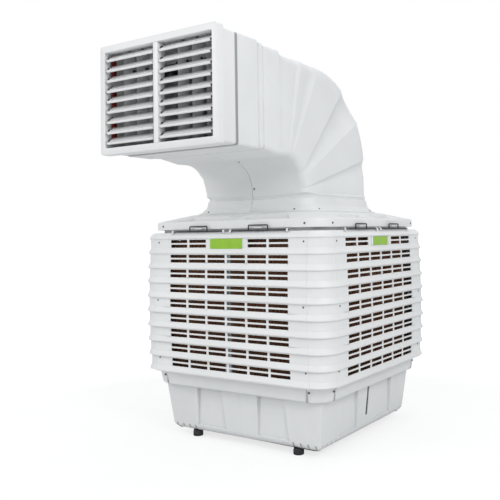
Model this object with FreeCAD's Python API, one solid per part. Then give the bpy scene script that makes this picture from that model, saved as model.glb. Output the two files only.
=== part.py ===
import FreeCAD, Part
import math
import os

os.makedirs("parts", exist_ok=True)

# Ducted evaporative air cooler, millimetres.
# +Z is up and the outlet faces -Y. The pieces are drawn about the upright middle line of the body.
# Each is then set so that the origin lies on the floor, under the middle of the overall length.

Vec = FreeCAD.Vector
axis_x = Vec(1, 0, 0)
axis_y = Vec(0, 1, 0)
axis_z = Vec(0, 0, 1)
origin = Vec(0, 0, 0)

# Clearances
seat_gap = 0.3            # between a piece and what carries it
running_gap = 0.06        # radial, pin in hole
joint_gap = 1.5           # between a panel and a corner post
pin_flats = 6             # flats on the small repeated pins and wires
hidden_flats = 16         # flats on the round pieces inside the tank

# Feet and tank
foot_radius = 25.0
foot_height = 30.0
foot_x = 300.0
foot_y = 402.0
tank_wall = 5.0
tank_floor = 8.0
tank_bottom_half = 430.0
tank_top_half = 457.0
tank_top = 262.0
tank_bottom_round = 40.0
bay_centre = 182.0
bay_top_width = 152.0
bay_bottom_width = 176.0
bay_depth = 18.0
bay_low = 62.0
bay_high = 250.0
rim_half_low = 497.0
rim_half_high = 508.0
rim_plate = 8.0
rim_wall = 6.0
window_width = 12.0
window_low = 104.0
window_high = 250.0
window_depth = 3.0

# Louvred body
course_count = 9
course_pitch = 72.4
courses_top = 985.0
lip_height = 20.0
body_half = 545.0
body_bow = 14.0
corner_radius = 95.0      # the panels end where the corners start to turn
shell = 4.0
bead_out = 12.0
band_height = 41.0        # upright band of a course, as high as its slots
ledge_drop = 3.0
slot_columns = 6
slot_pitch = 118.2
slot_width = 106.9
plate_half_width = 95.0
plate_proud = 3.0
flange_depth = 36.0       # inward reach of the panel's side flanges, from its ends
tongue_drop = 18.0
column_size = 44.0
column_outer = 456.0
column_tie = 12.0         # thickness of the ties from a column to its corner

# Cooling pads and water
pad_outer = 484.0
pad_thickness = 80.0
pad_half_length = 398.0
pad_bar = 24.0
pad_top = 972.0
pipe_size = 20.0
pipe_half = 426.0
pipe_corner = 44.0        # cut of the ring's corners, which clears the columns

# Float valve, drain and pump
valve_z = 212.0
valve_radius = 10.0
valve_nut = 17.0
valve_out = 30.0
valve_in = 60.0
float_pin = 3.0
float_arm_length = 150.0
float_length = 80.0
float_width = 60.0
float_height = 44.0
float_chamfer = 10.0
float_droop = 38.0
drain_x = -290.0
drain_y = -260.0
pump_x = 250.0
pump_y = 338.0
pump_radius = 48.0
pump_height = 118.0

# Top cover
cover_half = 512.0
cover_low = 1030.0
cover_wall_high = 1064.0
cover_top = 1105.0
cover_top_half = 384.0
cover_shell = 4.0
cover_edge = 6.0          # sloped edge over the upright wall
cover_flange_inner = 430.0
skirt_half = 488.0
skirt_low = 1000.0
cover_bore = 318.0

# Wire latches
latch_y = 525.0
latch_z = 1020.0
latch_wire = 3.0
latch_rise = 24.0
latch_near = 12.0
latch_far = 348.0
loop_near = 124.0
loop_far = 232.0
lug_width = 8.0
lug_half = 7.0
catch_width = 40.0
catch_high = 16.0         # above the rod
catch_past = 4.0          # beyond the rod

# Fan
shroud_radius = 310.0
shroud_wall = 4.0
shroud_low = 960.0
shroud_flange = 332.0
bell_flare = 22.0
spoke_width = 30.0
spoke_low = 966.0
spoke_thick = 8.0
motor_radius = 72.0
motor_height = 56.0
shaft_radius = 9.5
hub_radius = 60.0
hub_height = 56.0
fan_blades = 6
fan_tip = 296.0
fan_blade_thick = 4.0

# Elbow duct
duct_wall = 5.0
duct_half = 320.0
duct_front = -852.0
duct_low = 1365.0
duct_high = 1834.0
throat_y = -470.0
throat_z = 1205.0
throat_radius = 147.0
back_y = -200.0
back_z = 1310.0
back_radius = 515.0
neck_half = 322.0
duct_flange_half = 363.0
duct_round = 84.0
seam_gap = 0.6
run_end = -498.0          # rear edge of the raised rib
duct_fold_depth = 7.0     # how far the pleats stand out from the hollow's smooth bend

# Outlet housing
bezel_front = -989.0
bezel_back = -948.0
bezel_half = 333.0
bezel_low = 1359.0
bezel_high = 1841.0
bezel_round = 14.0
open_half = 305.0
open_low = 1389.0
open_high = 1811.0
mullion_half = 13.0
mullion_back = -945.0
collar_half = 322.0
collar_low = 1368.0
collar_high = 1832.0
collar_back = -862.0
spigot_back = -800.0
spigot_wall = 4.0
spigot_cut = 6.0

# Outlet blades
blade_count = 9
blade_pitch = 45.6
blade_mid_z = 1606.0
blade_y = -966.0
blade_tilt = 38.0
blade_chord = 48.0
blade_peg = 4.0
blade_end = 9.5           # from the jamb to the blade at the linked end
blade_cap = 6.0           # from the mullion side to the blade at the capped end
cap_radius = 6.5
crank_radius = 19.0
crank_pin = 2.5
link_thick = 4.5
link_half = 5.0
blades_a_link = 3

# Upright vanes
vane_pitch = 78.0
vane_bank_x = 159.0
vane_y = -903.0
vane_chord = 70.0
vane_thick = 3.0
vane_low = 1384.0
vane_high = 1816.0
vane_peg = 4.5
vane_arm = 25.0
vane_pin = 2.5
tie_z = 1735.0
tie_thick = 5.0
tie_width = 10.0
notch_half = 13.0
swing_x = 22.0
swing_motor_size = 42.0
swing_motor_low = 1662.0
motor_clear = 3.0         # between the motor and the sweep of the blades
swing_shaft = 3.0


def box(x0, x1, y0, y1, z0, z1):
    return Part.makeBox(x1 - x0, y1 - y0, z1 - z0, Vec(x0, y0, z0))


def rod(radius, start, direction, length):
    return Part.makeCylinder(radius, length, start, direction)


def flatted_rod(radius, start, end, flats=pin_flats):
    """Straight pin, wire or can with flats for its round side, its corners on the radius."""
    direction = (end - start).normalize()
    side = axis_x if abs(direction.x) < 0.5 else axis_z
    across = direction.cross(side).normalize()
    up = direction.cross(across)
    points = []
    for step in range(flats):
        angle = 2 * math.pi * step / flats
        points.append(start + across * (radius * math.cos(angle)) + up * (radius * math.sin(angle)))
    return prism(points, end - start)


def eye_radius(pin_radius):
    """Corner radius of a flat-sided eye that clears the pin all round."""
    return (pin_radius + running_gap) / math.cos(math.pi / pin_flats)


def fuse_all(shapes):
    first = shapes[0]
    if len(shapes) == 1:
        return first
    return first.fuse(shapes[1:])


def turned(shape, degrees, axis=axis_z, centre=origin):
    copy = shape.copy()
    copy.rotate(centre, axis, degrees)
    return copy


def mirrored_x(shape):
    return shape.mirror(origin, axis_x)


def prism(points, direction):
    wire = Part.makePolygon(points + [points[0]])
    return Part.Face(wire).extrude(direction)


def rounded_wire(centre, along_u, along_v, half_u, half_v, radius):
    """Closed rectangle with round corners in the plane of two unit vectors."""
    edges = []
    start = None
    last = None
    for sign_u, sign_v in ((1, 1), (-1, 1), (-1, -1), (1, -1)):
        middle = centre + along_u * (sign_u * (half_u - radius)) + along_v * (sign_v * (half_v - radius))
        out_u = along_u * (sign_u * radius)
        out_v = along_v * (sign_v * radius)
        first, second = (out_u, out_v) if sign_u * sign_v > 0 else (out_v, out_u)
        begin = middle + first
        crown = middle + (out_u + out_v) * math.sqrt(0.5)
        end = middle + second
        if last is None:
            start = begin
        else:
            edges.append(Part.makeLine(last, begin))
        edges.append(Part.Arc(begin, crown, end).toShape())
        last = end
    edges.append(Part.makeLine(last, start))
    return Part.Wire(edges)


def chamfered_wire(centre, along_u, along_v, half_u, half_v, cut):
    """Closed rectangle with its corners cut, for the inside of a round-cornered shell."""
    corners = []
    for u, v in ((half_u, cut - half_v), (half_u, half_v - cut), (half_u - cut, half_v), (cut - half_u, half_v),
                 (-half_u, half_v - cut), (-half_u, cut - half_v), (cut - half_u, -half_v), (half_u - cut, -half_v)):
        corners.append(centre + along_u * u + along_v * v)
    return Part.makePolygon(corners + [corners[0]])


def level_wire(half, radius, z):
    return rounded_wire(Vec(0, 0, z), axis_x, axis_y, half, half, radius)


def upright_wire(half, low, high, radius, y):
    middle = Vec(0, y, (low + high) / 2)
    return rounded_wire(middle, axis_x, axis_z, half, (high - low) / 2, radius)


def loft(wires):
    return Part.makeLoft(wires, True, True)


def export(name, shapes):
    if not isinstance(shapes, list):
        shapes = [shapes]
    solids = []
    for shape in shapes:
        solids.extend(shape.Solids)
    whole = solids[0] if len(solids) == 1 else Part.makeCompound(solids)
    whole.translate(Vec(0, -length_middle(), 0))
    whole.exportStep("parts/" + name + ".step")


# Feet and tank


def tank_half(z):
    share = (z - foot_height) / (tank_top - foot_height)
    return tank_bottom_half + (tank_top_half - tank_bottom_half) * share


def make_feet():
    feet = []
    for side_x in (-1, 1):
        for side_y in (-1, 1):
            place = Vec(side_x * foot_x, side_y * foot_y, 0)
            feet.append(rod(foot_radius, place, axis_z, foot_height))
    return feet


def square_wire(half, z):
    corners = [Vec(-half, -half, z), Vec(half, -half, z), Vec(half, half, z), Vec(-half, half, z)]
    return Part.makePolygon(corners + [corners[0]])


def tank_form(inset, low, high):
    """Tapered tub with crisp upright corners, and its four bottom edges."""
    form = loft([square_wire(tank_half(low) - inset, low), square_wire(tank_half(high) - inset, high)])
    bottom = [e for e in form.Edges if max(v.Z for v in e.Vertexes) < low + 0.01]
    return form, bottom


def bay_cutter(centre, grow):
    """Wedge that sinks one tapered bay into the -Y wall."""
    low = bay_low - grow
    high = bay_high + grow
    outside = -tank_top_half - 20
    low_y = -(tank_half(low) - bay_depth - grow)
    high_y = -(tank_half(high) - bay_depth - grow)
    side = [Vec(0, outside, low), Vec(0, low_y, low), Vec(0, high_y, high), Vec(0, outside, high)]
    width = bay_bottom_width + 2 * grow
    slab = prism([p + Vec(centre - width / 2, 0, 0) for p in side], Vec(width, 0, 0))
    top_half = bay_top_width / 2 + grow
    low_half = width / 2
    front = [Vec(centre - low_half, 0, low), Vec(centre + low_half, 0, low),
             Vec(centre + top_half, 0, high), Vec(centre - top_half, 0, high)]
    outline = prism([p + Vec(0, outside, 0) for p in front], Vec(0, -outside, 0))
    return slab.common(outline)


def bay_cutters(grow):
    cutters = []
    for quarter in range(4):
        for centre in (-bay_centre, bay_centre):
            cutters.append(turned(bay_cutter(centre, grow), 90 * quarter))
    return cutters


def make_tank():
    rim_top = courses_top - course_count * course_pitch
    inner_low = foot_height + tank_floor
    outer, bottom = tank_form(0, foot_height, tank_top)
    outer = outer.makeFillet(tank_bottom_round, bottom).cut(bay_cutters(0))
    inner, bottom = tank_form(tank_wall, inner_low, tank_top + 1)
    inner = inner.makeChamfer(0.6 * tank_bottom_round, bottom).cut(bay_cutters(tank_wall))
    rim_low = tank_top
    rim = loft([level_wire(rim_half_low, corner_radius, rim_low),
                level_wire(rim_half_high, corner_radius, rim_top)])
    gutter = loft([level_wire(rim_half_low - rim_wall, corner_radius - rim_wall, rim_low + rim_plate),
                   level_wire(rim_half_high - rim_wall, corner_radius - rim_wall, rim_top)])
    mouth_half = tank_half(tank_top) - tank_wall
    mouth = box(-mouth_half, mouth_half, -mouth_half, mouth_half, rim_low - 1, rim_top + 1)
    tank = outer.cut(inner).fuse(rim.cut([gutter, mouth]))
    window = [Vec(tank_half(z) - depth, 0, z)
              for z, depth in ((window_low, window_depth), (window_low, -20), (window_high, -20),
                               (window_high, window_depth))]
    slot = prism([p + Vec(0, -window_width / 2, 0) for p in window], Vec(0, window_width, 0))
    inlet = rod(valve_radius + seat_gap, Vec(-tank_top_half - 10, 0, valve_z), axis_x, 30)
    return tank.cut([slot, inlet])


# Louvred body


def surface_half(z):
    low = courses_top - course_count * course_pitch
    middle = (low + courses_top) / 2
    share = (z - middle) / (courses_top - middle)
    return body_half - body_bow * share * share


def band_level(course):
    """The slotted band of a course is upright, at the bowed surface's depth at its middle."""
    return surface_half(courses_top - (course + 0.5) * course_pitch)


def band_ends(course):
    top = courses_top - course * course_pitch - ledge_drop
    return (top, top - band_height)


def course_outline():
    """Outer face of the body from the top edge down: (z, distance proud of the band)."""
    points = [(courses_top + lip_height, bead_out - 4), (courses_top + ledge_drop, bead_out - 2)]
    for course in range(course_count):
        top = courses_top - course * course_pitch
        high, low = band_ends(course)
        level = band_level(course)
        points.append((high, level - surface_half(high)))
        points.append((low, level - surface_half(low)))
        points.append((top - course_pitch + ledge_drop, bead_out))
    return points


def length_middle():
    """Half way between the front of the bezel and the proudest lip of the back panel."""
    back = max(surface_half(z) + proud for z, proud in course_outline())
    return (bezel_front + back) / 2


def course_inside():
    """The same wall seen from behind, one shell thickness in."""
    points = [(courses_top + lip_height, bead_out - 4 - shell),
              (courses_top + ledge_drop + shell, bead_out - 2 - shell)]
    for course in range(course_count):
        top = courses_top - course * course_pitch
        high, low = band_ends(course)
        level = band_level(course) - shell
        points.append((high + shell, level - surface_half(high + shell)))
        points.append((low, level - surface_half(low)))
        end = top - course_pitch + ledge_drop
        points.append((end + (shell if course < course_count - 1 else 0), bead_out - shell))
    return points


def make_panel():
    """The -Y panel, seam to seam; the other three are turned copies."""
    half_width = body_half - corner_radius - joint_gap
    bottom = courses_top - course_count * course_pitch + ledge_drop
    top = courses_top + lip_height
    outside = [Vec(-half_width, -(surface_half(z) + proud), z) for z, proud in course_outline()]
    inside = [Vec(-half_width, -(surface_half(z) + proud), z) for z, proud in course_inside()]
    wall = prism(outside + inside[::-1], Vec(2 * half_width, 0, 0))

    slots = []
    for course in range(course_count):
        high, low = band_ends(course)
        for column in range(slot_columns):
            if course == 0 and column in (slot_columns // 2 - 1, slot_columns // 2):
                continue
            centre = (column - (slot_columns - 1) / 2) * slot_pitch
            slots.append(box(centre - slot_width / 2, centre + slot_width / 2, -body_half - 5,
                             -body_half + body_bow + shell + 6, low, high))
    wall = wall.cut(slots)

    inner_y = -(surface_half(bottom) - flange_depth)
    levels = [bottom + (top - bottom) * step / course_count for step in range(course_count + 1)]
    edge = [Vec(0, -(surface_half(z) - shell / 2), z) for z in levels]
    side = prism(edge + [Vec(0, inner_y, top), Vec(0, inner_y, bottom)], Vec(shell, 0, 0))
    sides = []
    for x in (-half_width, half_width - shell):
        flange = side.copy()
        flange.translate(Vec(x, 0, 0))
        sides.append(flange)
    top_flange = box(-half_width, half_width, -(surface_half(top) + shell), inner_y, top - shell, top)
    low_flange = box(-half_width, half_width, -(surface_half(bottom) + shell), inner_y, bottom, bottom + shell)
    tongue = box(-half_width + 40, half_width - 40, inner_y - shell, inner_y, bottom - tongue_drop, bottom)
    plate_top = courses_top - ledge_drop
    plate = box(-plate_half_width, plate_half_width, -(surface_half(plate_top) + plate_proud),
                -(surface_half(plate_top) - 1), plate_top - band_height, plate_top)

    lugs = []
    holes = []
    for side_x in (-1, 1):
        for x in (latch_near + lug_width, latch_far - lug_width):
            middle = side_x * x
            lugs.append(box(middle - lug_width / 2, middle + lug_width / 2, -latch_y - lug_half,
                            -latch_y + lug_half, top - shell, latch_z + lug_half))
            holes.append(flatted_rod(eye_radius(latch_wire), Vec(middle - lug_width, -latch_y, latch_z),
                                     Vec(middle + lug_width, -latch_y, latch_z)))
    panel = fuse_all([wall, top_flange, low_flange, tongue, plate] + sides + lugs)
    return panel.cut(holes).removeSplitter()


def make_post():
    """Corner post at +X, -Y: the courses turned through a quarter circle, with a column behind."""
    outline = course_outline()
    low = outline[-1][0]
    top = outline[0][0]
    pivot = body_half - corner_radius
    behind = surface_half(low) - shell
    outside = [Vec(pivot, -(surface_half(z) + proud), z) for z, proud in outline]
    section = outside + [Vec(pivot, -behind, low), Vec(pivot, -behind, top)]
    wire = Part.makePolygon(section + [section[0]])
    corner = Part.Face(wire).revolve(Vec(pivot, -pivot, 0), axis_z, 90)
    column_inner = column_outer - column_size
    column = box(column_inner, column_outer, -column_outer, -column_inner, tank_top + rim_plate, cover_low)
    reach = pivot + (behind - pivot + 2) * math.sqrt(0.5)
    start = pivot + joint_gap
    highest = skirt_low - seat_gap - column_tie
    ties = [box(start, reach, -reach, -start, z, z + column_tie) for z in (low, (low + top) / 2, highest)]
    return fuse_all([corner, column] + ties)


def make_pads():
    """Two cellulose pads a side with the upright bar between them."""
    pads = []
    low = tank_top + rim_plate
    for quarter in range(4):
        for side_x in (-1, 1):
            near = pad_bar / 2 + seat_gap
            x0, x1 = sorted((side_x * near, side_x * pad_half_length))
            pad = box(x0, x1, -pad_outer, -pad_outer + pad_thickness, low, pad_top)
            pads.append(turned(pad, 90 * quarter))
        bar = box(-pad_bar / 2, pad_bar / 2, -pad_outer, -pad_outer + pad_thickness, low, pad_top)
        pads.append(turned(bar, 90 * quarter))
    return pads


# Top cover


def cover_form():
    edge = cover_edge
    return loft([level_wire(cover_half, corner_radius, cover_low),
                 level_wire(cover_half, corner_radius, cover_wall_high),
                 level_wire(cover_half - edge, corner_radius, cover_wall_high + edge),
                 level_wire(cover_top_half, corner_radius, cover_top)])


def cover_hollow():
    thick = cover_shell
    return loft([chamfered_wire(Vec(0, 0, z), axis_x, axis_y, half - thick, half - thick, 0.6 * corner_radius)
                 for half, z in ((cover_half, cover_low + thick), (cover_half, cover_wall_high),
                                 (cover_top_half, cover_top - thick))])


def make_cover():
    outer = cover_form()
    inner = cover_hollow()
    mouth = box(-cover_flange_inner, cover_flange_inner, -cover_flange_inner, cover_flange_inner,
                cover_low - 1, cover_low + cover_shell + 1)
    bore = rod(cover_bore, Vec(0, 0, cover_top - 20), axis_z, 40)
    skirt_outer = Part.Face(level_wire(skirt_half, corner_radius, skirt_low))
    skirt_inner = Part.Face(level_wire(skirt_half - cover_shell, corner_radius - cover_shell, skirt_low))
    rise = Vec(0, 0, cover_low - skirt_low + 1)
    skirt = skirt_outer.extrude(rise).cut(skirt_inner.extrude(rise))
    cover = fuse_all([outer.cut([inner, mouth, bore]), skirt])
    return [cover] + make_catches()


def make_catches():
    """Eight blocks on the outside of the cover's wall, one for each wire loop to close over."""
    catches = []
    middle = (loop_near + loop_far) / 2
    for quarter in range(4):
        for side_x in (-1, 1):
            x = side_x * middle
            catch = box(x - catch_width / 2, x + catch_width / 2, -latch_y - catch_past, -cover_half,
                        cover_low, latch_z + catch_high)
            catches.append(turned(catch, 90 * quarter))
    return catches


# Wire latches


def make_latch(side_x):
    """Bent wire: two round ends that pivot on the panel, with a flat-sided loop between them."""
    half = latch_wire * 0.9
    near_end = flatted_rod(latch_wire, Vec(latch_near, -latch_y, latch_z), Vec(loop_near + half, -latch_y, latch_z))
    far_end = flatted_rod(latch_wire, Vec(loop_far - half, -latch_y, latch_z), Vec(latch_far, -latch_y, latch_z))
    around = box(loop_near - half, loop_far + half, -latch_y - half, -latch_y + half,
                 latch_z - half, latch_z + latch_rise + half)
    within = box(loop_near + half, loop_far - half, -latch_y - 2 * half, -latch_y + 2 * half,
                 latch_z - 2 * half, latch_z + latch_rise - half)
    latch = around.cut(within).fuse([near_end, far_end])
    return latch if side_x > 0 else mirrored_x(latch)


# Fan


def make_shroud():
    height = cover_top - cover_shell - shroud_low
    ring = rod(shroud_radius + shroud_wall, Vec(0, 0, shroud_low), axis_z, height)
    lip = rod(shroud_flange, Vec(0, 0, cover_top - cover_shell - 5), axis_z, 5)
    flare = Part.makeCone(shroud_radius + bell_flare, shroud_radius + shroud_wall, bell_flare,
                          Vec(0, 0, shroud_low))
    body = ring.fuse([lip, flare])
    bell = Part.makeCone(shroud_radius + bell_flare - shroud_wall, shroud_radius, bell_flare,
                         Vec(0, 0, shroud_low))
    body = body.cut([rod(shroud_radius, Vec(0, 0, shroud_low - 1), axis_z, height + 2), bell])
    arms = []
    for quarter in range(4):
        arm = box(40, shroud_radius + bell_flare - 10, -spoke_width / 2, spoke_width / 2,
                  spoke_low, spoke_low + spoke_thick)
        arms.append(turned(arm, 45 + 90 * quarter))
    seat = rod(motor_radius + 8, Vec(0, 0, spoke_low), axis_z, spoke_thick)
    return fuse_all([body, seat] + arms)


def make_motor():
    low = spoke_low + spoke_thick
    can = rod(motor_radius, Vec(0, 0, low), axis_z, motor_height)
    bore = rod(shaft_radius + running_gap, Vec(0, 0, low + 10), axis_z, motor_height)
    box_side = box(motor_radius - 12, motor_radius + 14, -22, 22, low, low + 34)
    return can.fuse(box_side).cut(bore)


def fan_section(radius, chord, pitch, z):
    """Slanted thin rectangle on the plane x = radius."""
    run = Vec(0, math.cos(math.radians(pitch)), math.sin(math.radians(pitch)))
    normal = Vec(0, -run.z, run.y)
    centre = Vec(radius, 0, z)
    half = run * (chord / 2)
    lift = normal * (fan_blade_thick / 2)
    corners = [centre - half - lift, centre + half - lift, centre + half + lift, centre - half + lift]
    return Part.makePolygon(corners + [corners[0]])


def make_impeller():
    low = spoke_low + spoke_thick
    hub_low = low + motor_height + 6
    middle = hub_low + hub_height / 2
    hub = rod(hub_radius, Vec(0, 0, hub_low), axis_z, hub_height)
    shaft = rod(shaft_radius, Vec(0, 0, low + 10 + seat_gap), axis_z, hub_low - low - 10)
    blade = loft([fan_section(hub_radius - 8, 74, 42, middle), fan_section(180, 104, 29, middle),
                  fan_section(fan_tip, 118, 21, middle)])
    blades = [turned(blade, 360 / fan_blades * step) for step in range(fan_blades)]
    return fuse_all([hub, shaft] + blades)


# Water


def float_pivot():
    return Vec(-tank_half(valve_z) + tank_wall + valve_in, 0, valve_z)


def make_fittings():
    """Float valve body through the tank wall, and the overflow standpipe in its drain socket."""
    pivot = float_pivot()
    outside = -tank_half(valve_z) - valve_out
    wall = -tank_half(valve_z + valve_nut)
    stub = rod(valve_radius, Vec(outside, 0, valve_z), axis_x, wall - 3 - outside)
    nut = flatted_rod(valve_nut, Vec(wall - seat_gap - 6, 0, valve_z), Vec(wall - seat_gap, 0, valve_z))
    inner = flatted_rod(valve_radius - 1, Vec(wall - 4, 0, valve_z), Vec(pivot.x - 14, 0, valve_z))
    body = fuse_all([stub, nut, inner])
    yoke = box(pivot.x - 18, pivot.x - 10, -10, 10, valve_z - 8, valve_z + 8)
    cheeks = [box(pivot.x - 12, pivot.x + 8, y, y + 3, valve_z - 6, valve_z + 6) for y in (-10, 7)]
    pin = flatted_rod(float_pin, Vec(pivot.x, -9, valve_z), Vec(pivot.x, 9, valve_z))
    valve = fuse_all([body, yoke, pin] + cheeks)
    floor = foot_height + tank_floor
    socket = flatted_rod(28, Vec(drain_x, drain_y, floor), Vec(drain_x, drain_y, floor + 14))
    top = Vec(drain_x, drain_y, floor + 160)
    pipe = flatted_rod(16, Vec(drain_x, drain_y, floor), top, hidden_flats)
    bore = flatted_rod(12, Vec(drain_x, drain_y, floor + 20), top + axis_z, hidden_flats)
    return [valve, socket.fuse(pipe).cut(bore)]


def make_float_arm():
    pivot = float_pivot()
    eye = flatted_rod(7, Vec(pivot.x, -6, valve_z), Vec(pivot.x, 6, valve_z))
    arm = flatted_rod(3, Vec(pivot.x + 5, 0, valve_z), Vec(pivot.x + float_arm_length, 0, valve_z))
    middle = pivot.x + float_arm_length
    block = box(middle - float_length / 2, middle + float_length / 2, -float_width / 2, float_width / 2,
                valve_z - float_height / 2, valve_z + float_height / 2)
    upright = [e for e in block.Edges if abs(e.Vertexes[0].Z - e.Vertexes[1].Z) > 1]
    block = block.makeChamfer(float_chamfer, upright)
    whole = eye.fuse([arm, block]).cut(flatted_rod(eye_radius(float_pin), Vec(pivot.x, -8, valve_z),
                                                   Vec(pivot.x, 8, valve_z)))
    return turned(whole, float_droop, axis_y, pivot)


def make_pump():
    floor = foot_height + tank_floor
    seat = Vec(pump_x, pump_y, floor)
    base = flatted_rod(pump_radius + 10, seat, seat + Vec(0, 0, 10), hidden_flats)
    can = flatted_rod(pump_radius, seat, seat + Vec(0, 0, pump_height), hidden_flats)
    return base.fuse(can)


def make_distributor():
    """Square ring of pipe over the pads, fed by a riser from the pump."""
    low = pad_top + seat_gap
    high = low + pipe_size
    inner = pipe_half - pipe_size
    inner_cut = pipe_corner - pipe_size * (2 - math.sqrt(2))
    centre = Vec(0, 0, low)
    ring = Part.Face(chamfered_wire(centre, axis_x, axis_y, pipe_half, pipe_half, pipe_corner))
    hole = Part.Face(chamfered_wire(centre, axis_x, axis_y, inner, inner, inner_cut))
    ring = ring.cut(hole).extrude(Vec(0, 0, pipe_size))
    riser_y = inner - 14
    start = foot_height + tank_floor + pump_height
    riser = flatted_rod(9, Vec(pump_x, riser_y, start), Vec(pump_x, riser_y, high), hidden_flats)
    stub = box(pump_x - 9, pump_x + 9, riser_y, inner + 1, low, high)
    return fuse_all([ring, riser, stub])


# Elbow duct


def throat(angle):
    turn = math.radians(angle)
    return (throat_y + throat_radius * math.cos(turn), throat_z + throat_radius * math.sin(turn))


def back(angle):
    turn = math.radians(angle)
    return (back_y + back_radius * math.cos(turn), back_z + back_radius * math.sin(turn))


def duct_stations():
    """Sections along the elbow: throat point, outer point, how far the wall stands in, corner radius."""
    throat_top = throat(90)[1]
    back_top = back(90)[1]
    straight = [
        ((duct_front, duct_low), (duct_front, duct_high), 0, 12),
        ((-722, duct_low), (-722, duct_high), 0, 12),
        ((-710, duct_low), (-710, duct_high - 3), 11, 15),
        ((-566, duct_low - 6), (-566, duct_high - 6), 11, 22),
        ((-554, throat_top), (-554, back_top + 4), -2, 26),
        ((-504, throat_top), (-504, back_top + 3), -2, 32),
        ((-492, throat_top), (-490, back_top + 2), 8, 36),
    ]
    folds = [
        (throat(90), (-352, back_top), 9, 44),
        (throat(80), back(90), -4, 52),
        (throat(46), back(62), 13, 60),
        (throat(31), back(35), -5, 68),
        (throat(6), back(11), 8, 76),
        ((-neck_half, 1196), (neck_half, 1204), 0, duct_round),
    ]
    base = []
    for z, half in ((1188, neck_half), (1184, neck_half - 8), (1176, neck_half - 8), (1172, neck_half + 2),
                    (1140, neck_half + 7), (1116, neck_half + 28),
                    (cover_top + 4, duct_flange_half), (cover_top, duct_flange_half)):
        base.append(((-half, z), (half, z), duct_half - half, duct_round))
    return straight, folds, base


def duct_frame(station):
    """Centre, upward direction and half sizes of one section."""
    (low_y, low_z), (high_y, high_z), stand_in, radius = station
    low = Vec(0, low_y, low_z)
    high = Vec(0, high_y, high_z)
    across = (high - low).normalize()
    trim = max(stand_in, 0) if abs(across.y) < 0.999 else 0
    return (low + high) / 2, across, duct_half - stand_in, (high - low).Length / 2 - trim, radius


def duct_wire(station):
    middle, across, half_x, half_across, radius = duct_frame(station)
    return rounded_wire(middle, axis_x, across, half_x, half_across, radius)


def duct_hollow_wire(station, inset):
    middle, across, half_x, half_across, radius = duct_frame(station)
    cut = max(0.6 * (radius - inset), 3)
    return chamfered_wire(middle, axis_x, across, half_x - inset, half_across - inset, cut)


def make_duct():
    """Left and right half, each a straight run that butts on the bend."""
    straight, folds, base = duct_stations()
    outer = loft([duct_wire(s) for s in straight + folds + base])
    mouth = [duct_hollow_wire(s, duct_wall) for s in straight[:4]]
    turn = [duct_hollow_wire(s, duct_wall + duct_fold_depth) for s in folds[::2] + folds[-1:]]
    neck = [duct_hollow_wire(s, duct_wall) for s in base[1:3] + base[4:6] + base[-1:]]
    inner = loft(mouth + turn + neck)
    shell_form = outer.cut(inner)
    halves = []
    beyond = 2 * cover_top
    for near, far in ((-beyond, -seam_gap / 2), (seam_gap / 2, beyond)):
        run = shell_form.common(box(near, far, -beyond, run_end, 0, beyond))
        bend = shell_form.common(box(near, far, run_end, beyond, 0, beyond))
        halves.append([run, bend])
    return halves


# Outlet


def bank_blades():
    """Heights of the blade pivots, top first."""
    return [blade_mid_z + (blade_count - 1) / 2 * blade_pitch - blade_pitch * row for row in range(blade_count)]


def make_housing():
    depth = bezel_back - bezel_front
    bezel = Part.Face(upright_wire(bezel_half, bezel_low, bezel_high, bezel_round, bezel_front))
    bezel = bezel.extrude(Vec(0, depth, 0))
    hollow_half = duct_half - duct_wall - seat_gap - spigot_wall
    inside_low = duct_low + duct_wall + seat_gap + spigot_wall
    inside_high = duct_high - duct_wall - seat_gap - spigot_wall
    collar = Part.Face(upright_wire(collar_half, collar_low, collar_high, bezel_round - 2, bezel_back))
    collar = collar.extrude(Vec(0, collar_back - bezel_back, 0))
    middle = Vec(0, collar_back - 1, (inside_low + inside_high) / 2)
    spigot_high = (inside_high - inside_low) / 2 + spigot_wall
    spigot = Part.Face(chamfered_wire(middle, axis_x, axis_z, hollow_half + spigot_wall, spigot_high, spigot_cut))
    spigot = spigot.extrude(Vec(0, spigot_back - collar_back + 1, 0))
    tunnel = box(-hollow_half, hollow_half, bezel_back, spigot_back + 1, inside_low, inside_high)
    opening = box(-open_half, open_half, bezel_front - 1, bezel_back + 1, open_low, open_high)
    mullion = box(-mullion_half, mullion_half, bezel_front, mullion_back, open_low, open_high)
    frame = fuse_all([bezel, collar, spigot]).cut([tunnel, opening])
    return frame.fuse(mullion)


def blade_profile(x):
    """Teardrop: a thick nose at the front and a thin tail behind."""
    half = blade_chord / 2
    shape = [(-half, -6), (-half - 1.5, -1), (-half, 4.5), (-half + 14, 1.6), (half, 1.2), (half, -1.2),
             (-half + 12, -2.2)]
    return [Vec(x, blade_y + chord, up) for chord, up in shape]


def make_blade(side_x, z):
    """One blade of the left bank, or its mirror image in the right bank."""
    start = -open_half + blade_end
    end = -mullion_half - blade_cap
    body = prism(blade_profile(start), Vec(end - start, 0, 0))
    peg = flatted_rod(blade_peg, Vec(-open_half + seat_gap, blade_y, 0), Vec(start + 2, blade_y, 0))
    cap = flatted_rod(cap_radius, Vec(end - 2, blade_y, 0), Vec(-mullion_half - seat_gap, blade_y, 0))
    pin_y = blade_y + crank_radius
    pin = flatted_rod(crank_pin, Vec(start - link_thick - 2, pin_y, 0), Vec(start + 2, pin_y, 0))
    blade = fuse_all([body, peg, cap, pin])
    blade = turned(blade, blade_tilt, axis_x, Vec(0, blade_y, 0))
    blade.translate(Vec(0, 0, z))
    return blade if side_x < 0 else mirrored_x(blade)


def crank_offset():
    turn = math.radians(blade_tilt)
    return (crank_radius * math.cos(turn), crank_radius * math.sin(turn))


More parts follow.
